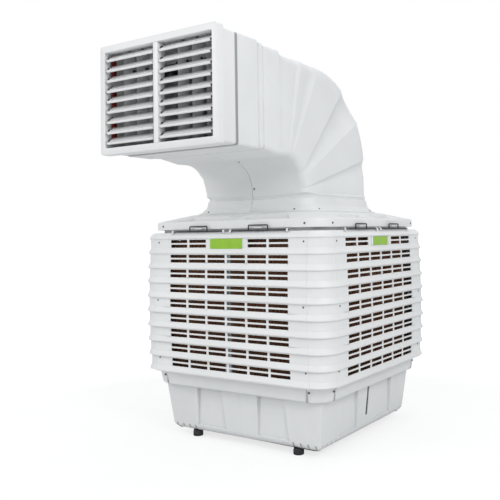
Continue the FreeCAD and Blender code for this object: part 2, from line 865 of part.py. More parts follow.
def make_link(side_x, rows):
    """Bar that ties three blades, with a round eye on each crank pin."""
    heights = bank_blades()
    back_step, up = crank_offset()
    y = blade_y + back_step
    x0 = -open_half + blade_end - 1 - link_thick
    low = heights[rows[-1]] + up
    high = heights[rows[0]] + up
    bar = box(x0, x0 + link_thick, y - link_half, y + link_half, low - link_half, high + link_half)
    eyes = []
    for row in rows:
        eyes.append(flatted_rod(eye_radius(crank_pin), Vec(x0 - 1, y, heights[row] + up),
                                Vec(x0 + link_thick + 1, y, heights[row] + up)))
    link = bar.cut(eyes)
    return link if side_x < 0 else mirrored_x(link)


def vane_places():
    places = []
    for side_x in (-1, 1):
        for step in (-1, 0, 1):
            places.append(side_x * vane_bank_x + step * vane_pitch)
    return places


def make_vane(x):
    half = vane_chord / 2
    thick = vane_thick / 2
    outline = [(-thick, -half + 4), (0, -half), (thick, -half + 4), (thick, half - 10), (0, half),
               (-thick, half - 10)]
    plate = prism([Vec(x + across, vane_y + chord, vane_low) for across, chord in outline],
                  Vec(0, 0, vane_high - vane_low))
    notch = box(x - 5, x + 5, vane_y + vane_arm - 11, vane_y + half + 1, tie_z - notch_half, tie_z + notch_half)
    plate = plate.cut(notch)
    pin_y = vane_y + vane_arm
    pin = flatted_rod(vane_pin, Vec(x, pin_y, tie_z - notch_half - 3), Vec(x, pin_y, tie_z + notch_half + 3))
    floor = duct_low + duct_wall + seat_gap + spigot_wall
    ceiling = duct_high - duct_wall - seat_gap - spigot_wall
    low_peg = flatted_rod(vane_peg, Vec(x, vane_y, floor + seat_gap), Vec(x, vane_y, vane_low + 4))
    high_peg = flatted_rod(vane_peg, Vec(x, vane_y, vane_high - 4), Vec(x, vane_y, ceiling - seat_gap))
    return fuse_all([plate, pin, low_peg, high_peg])


def make_tie_bar():
    y = vane_y + vane_arm
    reach = vane_bank_x + vane_pitch + tie_width
    bar = box(-reach, reach, y - tie_width / 2, y + tie_width / 2, tie_z - tie_thick / 2, tie_z + tie_thick / 2)
    holes = []
    for x in vane_places() + [swing_x]:
        holes.append(flatted_rod(eye_radius(vane_pin), Vec(x, y, tie_z - tie_thick), Vec(x, y, tie_z + tie_thick)))
    return bar.cut(holes)


def make_swing_motor():
    """Small gear motor on the back of the mullion, its shaft upright."""
    top = tie_z - tie_thick / 2 - 12
    front = blade_y + blade_chord / 2 + motor_clear
    body = box(0, swing_motor_size, front, vane_y + 14, swing_motor_low, top)
    foot = box(0, mullion_half - 1, mullion_back, front + 1, swing_motor_low, top)
    shaft = flatted_rod(swing_shaft, Vec(swing_x, vane_y, top - 1), Vec(swing_x, vane_y, top + 8))
    return body.fuse([foot, shaft])


def make_swing_crank():
    top = tie_z - tie_thick / 2 - 12
    low = top + 2
    pin_y = vane_y + vane_arm
    plate = box(swing_x - 5, swing_x + 5, vane_y, pin_y + 5, low, low + 5)
    hub = flatted_rod(7, Vec(swing_x, vane_y, low), Vec(swing_x, vane_y, low + 7))
    pin = flatted_rod(vane_pin, Vec(swing_x, pin_y, low + 1), Vec(swing_x, pin_y, tie_z + tie_thick / 2 + 3))
    crank = fuse_all([plate, hub, pin])
    return crank.cut(flatted_rod(eye_radius(swing_shaft), Vec(swing_x, vane_y, low - 1), Vec(swing_x, vane_y, low + 9)))


# Build every piece

side_names = ["front", "right", "back", "left"]

export("tank", make_tank())
export("feet", make_feet())
export("corner_posts", [turned(make_post(), 90 * quarter) for quarter in range(4)])
export("top_cover", make_cover())
front_panel = make_panel()
for quarter, side in enumerate(side_names):
    export("panel_" + side, turned(front_panel, 90 * quarter))
    export("latch_" + side + "_a", turned(make_latch(-1), 90 * quarter))
    export("latch_" + side + "_b", turned(make_latch(1), 90 * quarter))
export("cooling_pads", make_pads())
export("fan_shroud", make_shroud())
export("fan_motor", make_motor())
export("fan_impeller", make_impeller())
export("tank_fittings", make_fittings())
export("float_arm", make_float_arm())
export("pump", make_pump())
export("water_distributor", make_distributor())
duct_left, duct_right = make_duct()
export("duct_left_half", duct_left)
export("duct_right_half", duct_right)
export("outlet_housing", make_housing())
for bank, side_x in (("left", -1), ("right", 1)):
    for row, height in enumerate(bank_blades()):
        export("blade_%s_%d" % (bank, row + 1), make_blade(side_x, height))
    for group in range(blade_count // blades_a_link):
        rows = [group * blades_a_link + step for step in range(blades_a_link)]
        export("blade_link_%s_%d" % (bank, group + 1), make_link(side_x, rows))
for number, x in enumerate(vane_places()):
    export("vane_%d" % (number + 1), make_vane(x))
export("vane_tie_bar", make_tie_bar())
export("swing_motor", make_swing_motor())
export("swing_crank", make_swing_crank())
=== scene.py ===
import math
import bmesh
import bpy
from mathutils import Matrix, Vector


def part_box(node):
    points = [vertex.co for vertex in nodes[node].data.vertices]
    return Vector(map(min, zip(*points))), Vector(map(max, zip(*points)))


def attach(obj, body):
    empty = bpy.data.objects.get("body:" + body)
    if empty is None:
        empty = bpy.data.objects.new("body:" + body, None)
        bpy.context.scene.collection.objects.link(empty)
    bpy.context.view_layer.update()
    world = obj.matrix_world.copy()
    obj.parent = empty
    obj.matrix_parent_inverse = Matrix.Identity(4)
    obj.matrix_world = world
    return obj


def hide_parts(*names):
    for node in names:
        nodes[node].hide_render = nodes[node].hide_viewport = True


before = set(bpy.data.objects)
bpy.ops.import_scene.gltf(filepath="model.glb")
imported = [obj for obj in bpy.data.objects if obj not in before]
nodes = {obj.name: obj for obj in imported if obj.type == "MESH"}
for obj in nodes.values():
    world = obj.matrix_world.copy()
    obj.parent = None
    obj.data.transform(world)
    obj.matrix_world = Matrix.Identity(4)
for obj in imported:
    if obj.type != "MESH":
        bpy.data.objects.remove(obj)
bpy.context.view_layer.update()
scene = bpy.context.scene

# Shapes are drawn in millimetres about the upright middle line of the body, which stands
# square on its feet, and Stock.piece sets them in the frame.
mm = 0.001
footLow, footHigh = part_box("feet")
bodyMiddle = Vector((0, (footLow.y + footHigh.y) / 2, 0))
sideNames = ["front", "right", "back", "left"]
print("frame loaded:", len(nodes), "nodes")


# Shape helpers

def filleted(corners, radii, steps=4):
    # a line through flat points, each corner rounded by about its radius; 0 keeps the corner
    line = [corners[0]]
    for before, corner, after, radius in zip(corners, corners[1:], corners[2:], radii[1:]):
        if radius == 0:
            line.append(corner)
            continue
        here = Vector(corner)
        back = Vector(before) - here
        on = Vector(after) - here
        turn = math.pi - back.angle(on)
        cut = min(radius * math.tan(turn / 2), back.length * 0.48, on.length * 0.48)
        start = here + back.normalized() * cut
        end = here + on.normalized() * cut
        for step in range(steps + 1):
            t = step / steps
            line.append(tuple(start * (1 - t) ** 2 + here * 2 * t * (1 - t) + end * t ** 2))
    line.append(corners[-1])
    return line


def arcPoints(centre, radius, start, sweep, steps):
    # flat points along part of a circle, in degrees, with both its ends
    points = []
    for step in range(steps + 1):
        turn = math.radians(start + sweep * step / steps)
        points.append((centre[0] + radius * math.cos(turn), centre[1] + radius * math.sin(turn)))
    return points


def levelRing(halfX, halfY, corner, z, steps=4, centre=(0, 0)):
    # a level rectangle with round corners
    ring = []
    for quarter, (sideX, sideY) in enumerate(((1, 1), (-1, 1), (-1, -1), (1, -1))):
        pivot = (centre[0] + sideX * (halfX - corner), centre[1] + sideY * (halfY - corner))
        ring += [(x, y, z) for x, y in arcPoints(pivot, corner, 90 * quarter, 90, steps)]
    return ring


def uprightRing(half, low, high, corner, y):
    # the same ring stood up across the duct
    ring = levelRing(half, (high - low) / 2, corner, 0, 6, (0, (low + high) / 2))
    return [(x, y, z) for x, z, flat in ring]


def gridQuad(row, column, count):
    # the face between two rows of count points
    first = row * count + column
    return [first, first + 1, first + count + 1, first + count]


def quarterTurn(count):
    return Matrix.Rotation(math.radians(90 * count), 4, "Z")


def fourSides(side):
    # a ring from what side() gives for each quarter, drawn as the -Y side
    return [quarterTurn(quarter) @ Vector(point) for quarter in range(4) for point in side(quarter)]


def placed(name, data):
    thing = bpy.data.objects.new(name, data)
    scene.collection.objects.link(thing)
    return thing


def cleanMesh(name, points, faces, gap, inside=None):
    # points closer than the gap become one; the faces look outward, of an open sheet away from inside
    mesh = bpy.data.meshes.new(name)
    mesh.from_pydata(points, [], faces)
    shape = bmesh.new()
    shape.from_mesh(mesh)
    bmesh.ops.remove_doubles(shape, verts=shape.verts, dist=gap)
    bmesh.ops.recalc_face_normals(shape, faces=shape.faces)
    if inside and sum(face.normal.dot(face.calc_center_median() - Vector(inside)) * face.calc_area()
                      for face in shape.faces) < 0:
        bmesh.ops.reverse_faces(shape, faces=shape.faces)
    shape.to_mesh(mesh)
    shape.free()
    return mesh


def settle(thing, sharp):
    # the modifiers' result becomes the plain mesh, smooth but for its sharp edges
    evaluated = thing.evaluated_get(bpy.context.evaluated_depsgraph_get())
    mesh = bpy.data.meshes.new_from_object(evaluated)
    thing.modifiers.clear()
    thing.data = mesh
    mesh.shade_smooth()
    mesh.set_sharp_from_angle(angle=math.radians(sharp))


class Stock:
    # points in millimetres and the faces between them, gathered until they are one piece
    def __init__(self):
        self.points = []
        self.faces = []

    def add(self, points, faces):
        first = len(self.points)
        self.points.extend(Vector(point) for point in points)
        self.faces.extend([first + i for i in face] for face in faces)

    def take(self, mesh):
        self.add([vertex.co for vertex in mesh.vertices], [list(face.vertices) for face in mesh.polygons])

    def join(self, other, matrix=None):
        turned = [matrix @ point for point in other.points] if matrix else other.points
        self.add(turned, other.faces)

    def moved(self, matrix):
        copy = Stock()
        copy.join(self, matrix)
        return copy

    def fourfold(self):
        # the same shape on all four sides of the body
        whole = Stock()
        for quarter in range(4):
            whole.join(self, quarterTurn(quarter))
        return whole

    def loft(self, rings, capped=True):
        count = len(rings[0])
        faces = []
        for row in range(len(rings) - 1):
            faces += [gridQuad(row, column, count) for column in range(count - 1)]
            faces.append([(row + 1) * count - 1, row * count, (row + 1) * count, (row + 2) * count - 1])
        if capped:
            faces.append(list(range(count))[::-1])
            faces.append([(len(rings) - 1) * count + column for column in range(count)])
        self.add([point for ring in rings for point in ring], faces)

    def block(self, low, high, edge=1.0):
        # a box with its edges broken
        centre = ((low[0] + high[0]) / 2, (low[1] + high[1]) / 2)
        halfX = (high[0] - low[0]) / 2
        halfY = (high[1] - low[1]) / 2
        self.loft([levelRing(halfX - inset, halfY - inset, edge, z, 2, centre) for z, inset in (
            (low[2], edge), (low[2] + edge, 0), (high[2] - edge, 0), (high[2], edge))])

    def pin(self, start, end, radius, flats=20, edge=0.5):
        start = Vector(start)
        along = Vector(end) - start
        unit = along.normalized()
        side = unit.orthogonal().normalized()
        up = unit.cross(side)
        rings = []
        for reach, size in ((0, radius - edge), (edge, radius), (along.length - edge, radius),
                            (along.length, radius - edge)):
            circle = arcPoints((0, 0), size, 0, 360, flats)[:-1]
            rings.append([start + unit * reach + side * across + up * rise for across, rise in circle])
        self.loft(rings)

    def turned(self, profile, centre, flats=32):
        # a turned part on an upright axis: (radius, z) from one end to the other
        self.loft([[(x, y, z) for x, y in arcPoints(centre, radius, 0, 360, flats)[:-1]] for radius, z in profile])

    def bar(self, outline, start, end):
        # an outline of (y, z) points carried along X
        self.loft([[(x, y, z) for y, z in outline] for x in (start, end)])

    def wire(self, path, radius, sides=4):
        curve = bpy.data.curves.new("wire", "CURVE")
        curve.dimensions = "3D"
        curve.bevel_depth = radius
        curve.bevel_resolution = sides
        curve.use_fill_caps = True
        spline = curve.splines.new("POLY")
        spline.points.add(len(path) - 1)
        for point, place in zip(spline.points, path):
            point.co = (*place, 1)
        thing = bpy.data.objects.new("wire", curve)
        self.take(bpy.data.meshes.new_from_object(thing))
        bpy.data.objects.remove(thing)

    def thickened(self, wall, inside):
        # an open sheet given its wall, inwards, towards the side where the point lies
        thing = placed("sheet", cleanMesh("sheet", self.points, self.faces, 0.01, inside))
        solid = thing.modifiers.new("wall", "SOLIDIFY")
        solid.thickness = wall
        solid.offset = -1
        solid.use_quality_normals = True
        settle(thing, 30)
        self.points, self.faces = [], []
        self.take(thing.data)
        bpy.data.objects.remove(thing)

    def piece(self, name, body, finish, slot, replaced=(), edge=0.0, sharp=34, segments=2):
        # the piece moves with its body and stands for the nodes it replaces
        points = [point * mm + bodyMiddle for point in self.points]
        thing = placed(name, cleanMesh(name, points, self.faces, 0.01 * mm))
        thing.data.materials.append(finish)
        if edge:
            bevel = thing.modifiers.new("edge", "BEVEL")
            bevel.width = edge * mm
            bevel.segments = segments
            bevel.limit_method = "ANGLE"
            bevel.angle_limit = math.radians(sharp)
        settle(thing, sharp)
        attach(thing, body)
        if replaced:
            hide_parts(*replaced)

    def onPanels(self, name, finish, slot, sides=sideNames, whole=False, **details):
        # the -Y panel's shape as a piece of each panel; whole where it stands for the panel itself
        for side in sides:
            panel = "panel_" + side
            self.moved(quarterTurn(sideNames.index(side))).piece(
                name + side, panel, finish, slot, [panel] if whole else (), **details)


# Finishes

class Signal:
    # what comes out of a node's socket, so that sums on it can be written as sums
    def __init__(self, desk, socket):
        self.desk = desk
        self.socket = socket

    def sum(self, operation, first, second):
        return self.desk.node("ShaderNodeMath", {"operation": operation}, {0: first, 1: second})

    def __add__(self, other):
        return self.sum("ADD", self, other)

    def __radd__(self, other):
        return self.sum("ADD", other, self)

    def __sub__(self, other):
        return self.sum("SUBTRACT", self, other)

    def __rsub__(self, other):
        return self.sum("SUBTRACT", other, self)

    def __mul__(self, other):
        return self.sum("MULTIPLY", self, other)

    def __rmul__(self, other):
        return self.sum("MULTIPLY", other, self)


class Bench:
    # a node tree: node() adds any kind of node to it
    def __init__(self, tree):
        self.tree = tree
        tree.nodes.clear()

    def node(self, kind, settings=None, inputs=None, output=0):
        made = self.tree.nodes.new(kind)
        for key, value in (settings or {}).items():
            if key == "stops":
                for spare in range(len(value) - 2):
                    made.color_ramp.elements.new(0.5)
                for element, (place, colour) in zip(made.color_ramp.elements, value):
                    element.position = place
                    element.color = colour
            else:
                setattr(made, key, value)
        for key, value in (inputs or {}).items():
            if isinstance(value, Signal):
                self.tree.links.new(value.socket, made.inputs[key])
            else:
                made.inputs[key].default_value = value
        return Signal(self, made.outputs[output]) if made.outputs else None

    def span(self, signal, low, high, start=0.0, end=1.0):
        return self.node("ShaderNodeMapRange", {"clamp": True}, {0: signal, 1: low, 2: high, 3: start, 4: end})


class Desk(Bench):
    # the nodes of one material
    def __init__(self, name):
        self.material = bpy.data.materials.new(name)
        self.material.use_nodes = True
        super().__init__(self.material.node_tree)

    def place(self):
        return self.node("ShaderNodeTexCoord", output="Object")

    def height(self):
        return self.node("ShaderNodeSeparateXYZ", None, {0: self.place()}, output=2)

    def spot(self, scale=(1, 1, 1), turn=(0, 0, 0)):
        return self.node("ShaderNodeMapping", None, {"Vector": self.place(), "Scale": scale, "Rotation": turn})

    def noise(self, scale, detail=3.0, rough=0.5, where=None):
        return self.node("ShaderNodeTexNoise", None,
                         {"Vector": where or self.place(), "Scale": scale, "Detail": detail, "Roughness": rough})

    def blend(self, share, first, second):
        return self.node("ShaderNodeMix", {"data_type": "RGBA"}, {0: share, 6: first, 7: second}, output=2)

    def bump(self, height, distance, strength=1.0, normal=None):
        inputs = {"Height": height, "Distance": distance, "Strength": strength}
        if normal:
            inputs["Normal"] = normal
        return self.node("ShaderNodeBump", None, inputs)

    def finish(self, inputs, kind="ShaderNodeBsdfPrincipled"):
        self.node("ShaderNodeOutputMaterial", None, {"Surface": self.node(kind, None, inputs)})
        return self.material


def shade(colour, factor):
    return (*[min(1.0, channel * factor) for channel in colour], 1.0)


def mouldedPlastic(name, colour, rough=0.42, grain=0.00006, dust=0.10, marks=0.5):
    # injection moulded skin: slow flow mottling, fine grain, dust that settles on ledges, faint rubbed streaks,
    # edges a little brighter where hands and cloths polish them, and painted shade with some grime in creases
    desk = Desk(name)
    mottling = desk.span(desk.noise(2.6, 4.0, 0.55), 0.35, 0.65)
    tone = desk.blend(mottling, shade(colour, 0.965), shade(colour, 1.02))
    normal = desk.node("ShaderNodeNewGeometry", output="Normal")
    upward = desk.node("ShaderNodeSeparateXYZ", None, {0: normal}, output=2)
    settled = desk.span(upward, 0.25, 0.95) * desk.span(desk.noise(34.0, 5.0, 0.62), 0.38, 0.72) * dust
    tone = desk.blend(settled, tone, shade(colour, 0.74))
    streaks = desk.span(desk.noise(9.0, 5.0, 0.6, desk.spot((1.2, 1.2, 14.0), (0.3, 0.12, 0.2))), 0.60, 0.78)
    tone = desk.blend(streaks * (0.10 * marks), tone, shade(colour, 0.82))
    crest = desk.span(desk.node("ShaderNodeNewGeometry", output="Pointiness"), 0.52, 0.60)
    tone = desk.blend(crest * 0.35, tone, shade(colour, 1.05))
    # painted shade, with some grime: ambient occlusion darkens creases, seams, slot edges and crevices
    creviceShadeAndGrime = desk.node("ShaderNodeAmbientOcclusion", {"samples": 4}, {"Distance": 0.018}, output="AO")
    tone = desk.blend(desk.span(creviceShadeAndGrime, 0.35, 0.85, 0.55, 0.0), tone, shade(colour, 0.45))
    skin = desk.noise(1400.0, 2.0, 0.5)
    fine = desk.bump(skin, grain, 0.5)
    waves = desk.bump(desk.noise(11.0, 2.0, 0.4), 0.0009, 0.35, fine)
    gloss = desk.span(desk.noise(14.0, 3.0, 0.5), 0.3, 0.7, rough - 0.02, rough + 0.03)
    gloss = gloss + settled * 0.5 + streaks * (0.06 * marks) - crest * 0.06
    return desk.finish({"Base Color": tone, "Roughness": gloss, "Normal": waves, "Specular IOR Level": 0.42,
                        "IOR": 1.49})


def darkPlastic(name, colour, rough=0.45):
    desk = Desk(name)
    cloud = desk.span(desk.noise(60.0, 4.0, 0.6), 0.3, 0.7)
    tone = desk.blend(cloud, shade(colour, 0.8), shade(colour, 1.35))
    scuff = desk.span(desk.noise(18.0, 6.0, 0.7, desk.spot((1, 6, 2), (0.4, 0.9, 0.2))), 0.62, 0.74)
    tone = desk.blend(scuff * 0.25, tone, shade(colour, 2.4))
    gloss = desk.span(cloud, 0.0, 1.0, rough - 0.06, rough + 0.08) + scuff * 0.12
    return desk.finish({"Base Color": tone, "Roughness": gloss, "Normal": desk.bump(desk.noise(900.0), 0.00008, 0.6)})


def rubberSkin(name):
    desk = Desk(name)
    bloom = desk.span(desk.noise(70.0, 5.0, 0.65), 0.35, 0.75)
    tone = desk.blend(bloom, (0.012, 0.012, 0.013, 1), (0.045, 0.045, 0.047, 1))
    pores = desk.bump(desk.noise(1600.0, 3.0, 0.7), 0.0001, 0.7)
    return desk.finish({"Base Color": tone, "Roughness": desk.span(bloom, 0, 1, 0.62, 0.82), "Normal": pores})


def coatedWire(name):
    # black dip coat with drawing lines and a few bright rubs
    desk = Desk(name)
    rub = desk.span(desk.noise(140.0, 6.0, 0.7), 0.66, 0.74)
    tone = desk.blend(rub, (0.014, 0.014, 0.015, 1), (0.16, 0.16, 0.165, 1))
    drawn = desk.noise(220.0, 2.0, 0.5, desk.spot((0.08, 1, 1)))
    return desk.finish({"Base Color": tone, "Roughness": desk.span(drawn, 0.3, 0.7, 0.30, 0.44) - rub * 0.1,
                        "Metallic": rub * 0.7, "Normal": desk.bump(drawn, 0.00012, 0.5)})


def cellulosePaper(name):
    # stiffened kraft paper: brown, darker where it is wet below, with fibres and scale
    desk = Desk(name)
    fibre = desk.noise(260.0, 6.0, 0.7, desk.spot((1, 1, 3.2), (0.7, 0.2, 0.9)))
    tone = desk.node("ShaderNodeValToRGB", {"stops": [(0.30, (0.085, 0.036, 0.018, 1)),
                                                      (0.52, (0.270, 0.125, 0.066, 1)),
                                                      (0.74, (0.430, 0.225, 0.125, 1))]}, {0: fibre})
    damp = desk.span(desk.height() + desk.noise(7.0, 3.0, 0.6) * 0.22, 0.40, 0.86)
    tone = desk.blend(1.0 - damp, tone, (0.160, 0.070, 0.036, 1))
    scale = desk.span(desk.noise(46.0, 5.0, 0.7), 0.62, 0.72)
    tone = desk.blend(scale * 0.28, tone, (0.46, 0.36, 0.26, 1))
    return desk.finish({"Base Color": tone, "Roughness": desk.span(fibre, 0.3, 0.7, 0.72, 0.95),
                        "Normal": desk.bump(fibre, 0.0006, 0.8)})


def enamelPaint(name, colour):
    desk = Desk(name)
    chips = desk.span(desk.noise(90.0, 6.0, 0.75), 0.70, 0.74)
    peel = desk.noise(420.0, 2.0, 0.5)
    tone = desk.blend(chips, desk.blend(peel, shade(colour, 0.85), shade(colour, 1.15)), (0.22, 0.21, 0.20, 1))
    return desk.finish({"Base Color": tone, "Roughness": 0.32 + chips * 0.25, "Metallic": chips * 0.6,
                        "Coat Weight": 0.3 - chips * 0.3, "Normal": desk.bump(peel, 0.0002, 0.5)})


def smokedWindow(name):
    # dark strip through which the water line shows, with scale below it
    desk = Desk(name)
    line = desk.span(desk.height() + desk.noise(60.0, 3.0, 0.6) * 0.004, 0.186, 0.190)
    tone = desk.blend(line, (0.060, 0.066, 0.070, 1), (0.115, 0.120, 0.124, 1))
    return desk.finish({"Base Color": tone, "Roughness": desk.span(desk.noise(300.0), 0.3, 0.7, 0.16, 0.28)})


def screwSteel(name):
    desk = Desk(name)
    cloud = desk.span(desk.noise(500.0, 4.0, 0.6), 0.3, 0.7)
    tone = desk.blend(cloud, (0.055, 0.056, 0.058, 1), (0.16, 0.16, 0.165, 1))
    return desk.finish({"Base Color": tone, "Roughness": desk.span(cloud, 0, 1, 0.28, 0.45),
                        "Metallic": 0.85 - cloud * 0.2})


def printedPlate(name, colour):
    # bare colour plate under a clear film, with faint scratches
    desk = Desk(name)
    film = desk.span(desk.noise(25.0, 3.0, 0.5), 0.3, 0.7)
    tone = desk.blend(film, shade(colour, 0.94), shade(colour, 1.06))
    scratch = desk.span(desk.noise(60.0, 4.0, 0.7, desk.spot((1, 1, 12), (0.2, 0.5, 0))), 0.66, 0.70)
    return desk.finish({"Base Color": desk.blend(scratch * 0.2, tone, shade(colour, 1.5)),
                        "Coat Weight": 0.45 - scratch * 0.2, "Roughness": 0.34 + scratch * 0.2,
                        "Normal": desk.bump(desk.noise(700.0), 0.00005, 0.4)})


finishes = {
    "white": mouldedPlastic("bodyPlastic", (0.800, 0.808, 0.806)),
    "tank": mouldedPlastic("tankPlastic", (0.755, 0.766, 0.768), 0.40),
    "duct": mouldedPlastic("ductPlastic", (0.775, 0.785, 0.786), 0.46, 0.00008, 0.12),
    "outlet": mouldedPlastic("outletPlastic", (0.800, 0.806, 0.806), 0.36, 0.00004, 0.06),
    "blade": mouldedPlastic("bladePlastic", (0.850, 0.854, 0.854), 0.30, 0.00003, 0.05, 0.8),
    "strap": mouldedPlastic("strapPlastic", (0.34, 0.38, 0.41), 0.40, 0.00006, 0.15),
    "grey": mouldedPlastic("fanPlastic", (0.33, 0.34, 0.35), 0.42, 0.00006, 0.25),
    "pipe": mouldedPlastic("pipePlastic", (0.76, 0.76, 0.74), 0.30, 0.00003, 0.08),
    "black": darkPlastic("blackPlastic", (0.020, 0.020, 0.021)),
    "red": darkPlastic("redPlastic", (0.200, 0.018, 0.016), 0.38),
    "rubber": rubberSkin("footRubber"),
    "wire": coatedWire("latchWire"),
    "paper": cellulosePaper("padPaper"),
    "enamel": enamelPaint("motorEnamel", (0.13, 0.135, 0.14)),
    "window": smokedWindow("levelWindow"),
    "screw": screwSteel("screwSteel"),
    "plate": printedPlate("platePrint", (0.275, 0.530, 0.020)),
}
print("finishes made:", len(finishes))


# Louvred casing

casing = {
    "half": 545.0, "bow": 14.0, "top": 985.0, "pitch": 72.4, "courses": 9, "rise": 30.0,
    "seam": 450.0, "seamGap": 0.6, "shoulder": 518.0, "lip": 12.0, "ledge": 3.0, "band": 41.0, "wall": 4.0,
    "topRound": 9.0, "ledgeRound": 1.5, "bandRound": 7.0, "lipRound": 6.0,
    "slotColumns": 6, "slotPitch": 118.2, "slotWidth": 106.9, "slotHigh": 15.2, "slotDrops": (4.5, 27.4),
    "slotRound": 3.2, "plateHalf": 95.0, "plateProud": 3.0, "flange": 36.0, "tongue": 18.0, "tongueIn": 40.0,
    "cornerSteps": 12, "postReturn": 10.0, "postWall": 3.0, "columnOuter": 456.0, "columnSize": 44.0,
    "columnLow": 270.3, "columnTop": 1029.0, "tie": 12.0, "tieTop": 986.0,
}


def surfaceHalf(z):
    low = casing["top"] - casing["courses"] * casing["pitch"]
    middle = (low + casing["top"]) / 2
    return casing["half"] - casing["bow"] * ((z - middle) / (casing["top"] - middle)) ** 2


casingBottom = casing["top"] - casing["courses"] * casing["pitch"] + casing["ledge"]
casingTop = casing["top"] + casing["rise"]
casingMiddle = (casing["top"] + casingBottom) / 2
flangeHalf = surfaceHalf(casingBottom) - casing["flange"]


def courseLevel(course):
    # half width of the body at a course's flat band
    return surfaceHalf(casing["top"] - (course + 0.5) * casing["pitch"])


def casingRows():
    # the wall from its top flange down to its bottom flange, as (z, half width of the body)
    shoulder = casing["shoulder"]
    corners = [(casingTop, flangeHalf), (casingTop, shoulder), (casing["top"] + 17, shoulder + 15),
               (casing["top"] + casing["ledge"], surfaceHalf(casing["top"]) + casing["lip"] - 2)]
    rounds = [0, 4, casing["topRound"], 3]
    for course in range(casing["courses"]):
        top = casing["top"] - course * casing["pitch"]
        level = surfaceHalf(top - casing["pitch"] / 2)
        foot = top - casing["pitch"] + casing["ledge"]
        corners += [(top - casing["ledge"], level), (top - casing["ledge"] - casing["band"], level),
                    (foot, surfaceHalf(foot) + casing["lip"])]
        rounds += [casing["ledgeRound"], casing["bandRound"], casing["lipRound"]]
    rounds[-1] = 2
    corners.append((casingBottom, flangeHalf))
    return filleted(corners, rounds + [0], 3)


def slotSpans():
    # (low z, high z, course) of every row of slots
    spans = []
    for course in range(casing["courses"]):
        for drop in casing["slotDrops"]:
            high = casing["top"] - course * casing["pitch"] - drop
            spans.append((high - casing["slotHigh"], high, course))
    return spans


def slotCentres():
    columns = casing["slotColumns"]
    return [(column - (columns - 1) / 2) * casing["slotPitch"] for column in range(columns)]


def slotCell(x, z):
    # the cell's place in a slot: across -1, 0, 1 and up -1, 0, 1; None where the wall is whole
    corner = casing["slotRound"]
    for low, high, course in slotSpans():
        if low < z < high:
            for centre in slotCentres():
                across = x - centre
                reach = casing["slotWidth"] / 2
                if abs(across) < reach and not (course == 0 and abs(centre) < casing["plateHalf"]):
                    side = 0 if abs(across) < reach - corner else math.copysign(1, across)
                    lift = 1 if z > high - corner else -1 if z < low + corner else 0
                    return side, lift
    return None


def louvredPanel():
    # the -Y panel, drawn as one sheet, then given its wall
    corner = casing["slotRound"]
    profile = casingRows()
    flange = [row for row in profile if row[0] >= casingTop - 0.01]
    rest = profile[len(flange):]
    for low, high, course in slotSpans():
        level = courseLevel(course)
        rest += [(z, level) for z in (low, low + corner, high - corner, high)]
    rows = flange + sorted(rest, reverse=True)
    end = casing["seam"] - casing["seamGap"]
    columns = [-end, end]
    for centre in slotCentres():
        for reach in (casing["slotWidth"] / 2, casing["slotWidth"] / 2 - corner):
            columns += [centre - reach, centre + reach]
    columns.sort()
    sheet = Stock()
    points = [(x, -half, z) for z, half in rows for x in columns]
    faces = []
    count = len(columns)
    for i in range(len(rows) - 1):
        for j in range(count - 1):
            quad = gridQuad(i, j, count)
            x = (columns[j] + columns[j + 1]) / 2
            cell = slotCell(x, (rows[i][0] + rows[i + 1][0]) / 2)
            if cell is None:
                faces.append(quad)
            elif cell[0] and cell[1]:
                side, lift = cell
                across = columns[j] if side > 0 else columns[j + 1]
                upright = rows[i + 1][0] if lift > 0 else rows[i][0]
                points.append((across + side * corner * math.sqrt(0.5), -rows[i][1],
                               upright + lift * corner * math.sqrt(0.5)))
                # the quad's far inside corner gives way to a point on the slot's round corner
                inner = {(1, 1): 3, (-1, 1): 2, (1, -1): 0, (-1, -1): 1}[(side, lift)]
                quad[inner] = len(points) - 1
                faces.append(quad)
    # side flanges, as deep as the top and bottom ones
    upright = [i for i, (z, half) in enumerate(rows) if half > flangeHalf + 1]
    for j in (0, count - 1):
        first = len(points)
        points += [(columns[j], -flangeHalf, rows[i][0]) for i in upright]
        faces += [[i * count + j, (i + 1) * count + j, first + n + 1, first + n] for n, i in enumerate(upright[:-1])]
    sheet.add(points, faces)
    sheet.thickened(casing["wall"], (0, 0, casingMiddle))
    plateTop = casing["top"] - casing["ledge"]
    level = courseLevel(0)
    sheet.block((-casing["plateHalf"], -level - casing["plateProud"], plateTop - casing["band"]),
                (casing["plateHalf"], -level + 1, plateTop), 1.2)
    tongueHalf = end - casing["tongueIn"]
    sheet.block((-tongueHalf, -flangeHalf - casing["wall"], casingBottom - casing["tongue"]),
                (tongueHalf, -flangeHalf, casingBottom + 2), 1.0)
    return sheet


latch = {
    "y": 525.0, "z": 1020.0, "wire": 3.0, "rise": 24.0, "near": 12.0, "far": 348.0, "loopNear": 124.0,
    "loopFar": 232.0, "bend": 5.0, "lugWidth": 8.0, "lugHalf": 7.0,
}


def latchLugs():
    # ears with round tops that hold the ends of the wires
    lugs = Stock()
    half = latch["lugHalf"]
    outline = [(-latch["y"] - half, casingTop - 3), (-latch["y"] + half, casingTop - 3),
               *arcPoints((-latch["y"], latch["z"]), half, 0, 180, 8)]
    for side in (-1, 1):
        for x in (latch["near"] + latch["lugWidth"], latch["far"] - latch["lugWidth"]):
            lugs.bar(outline, side * x - latch["lugWidth"] / 2, side * x + latch["lugWidth"] / 2)
    return lugs


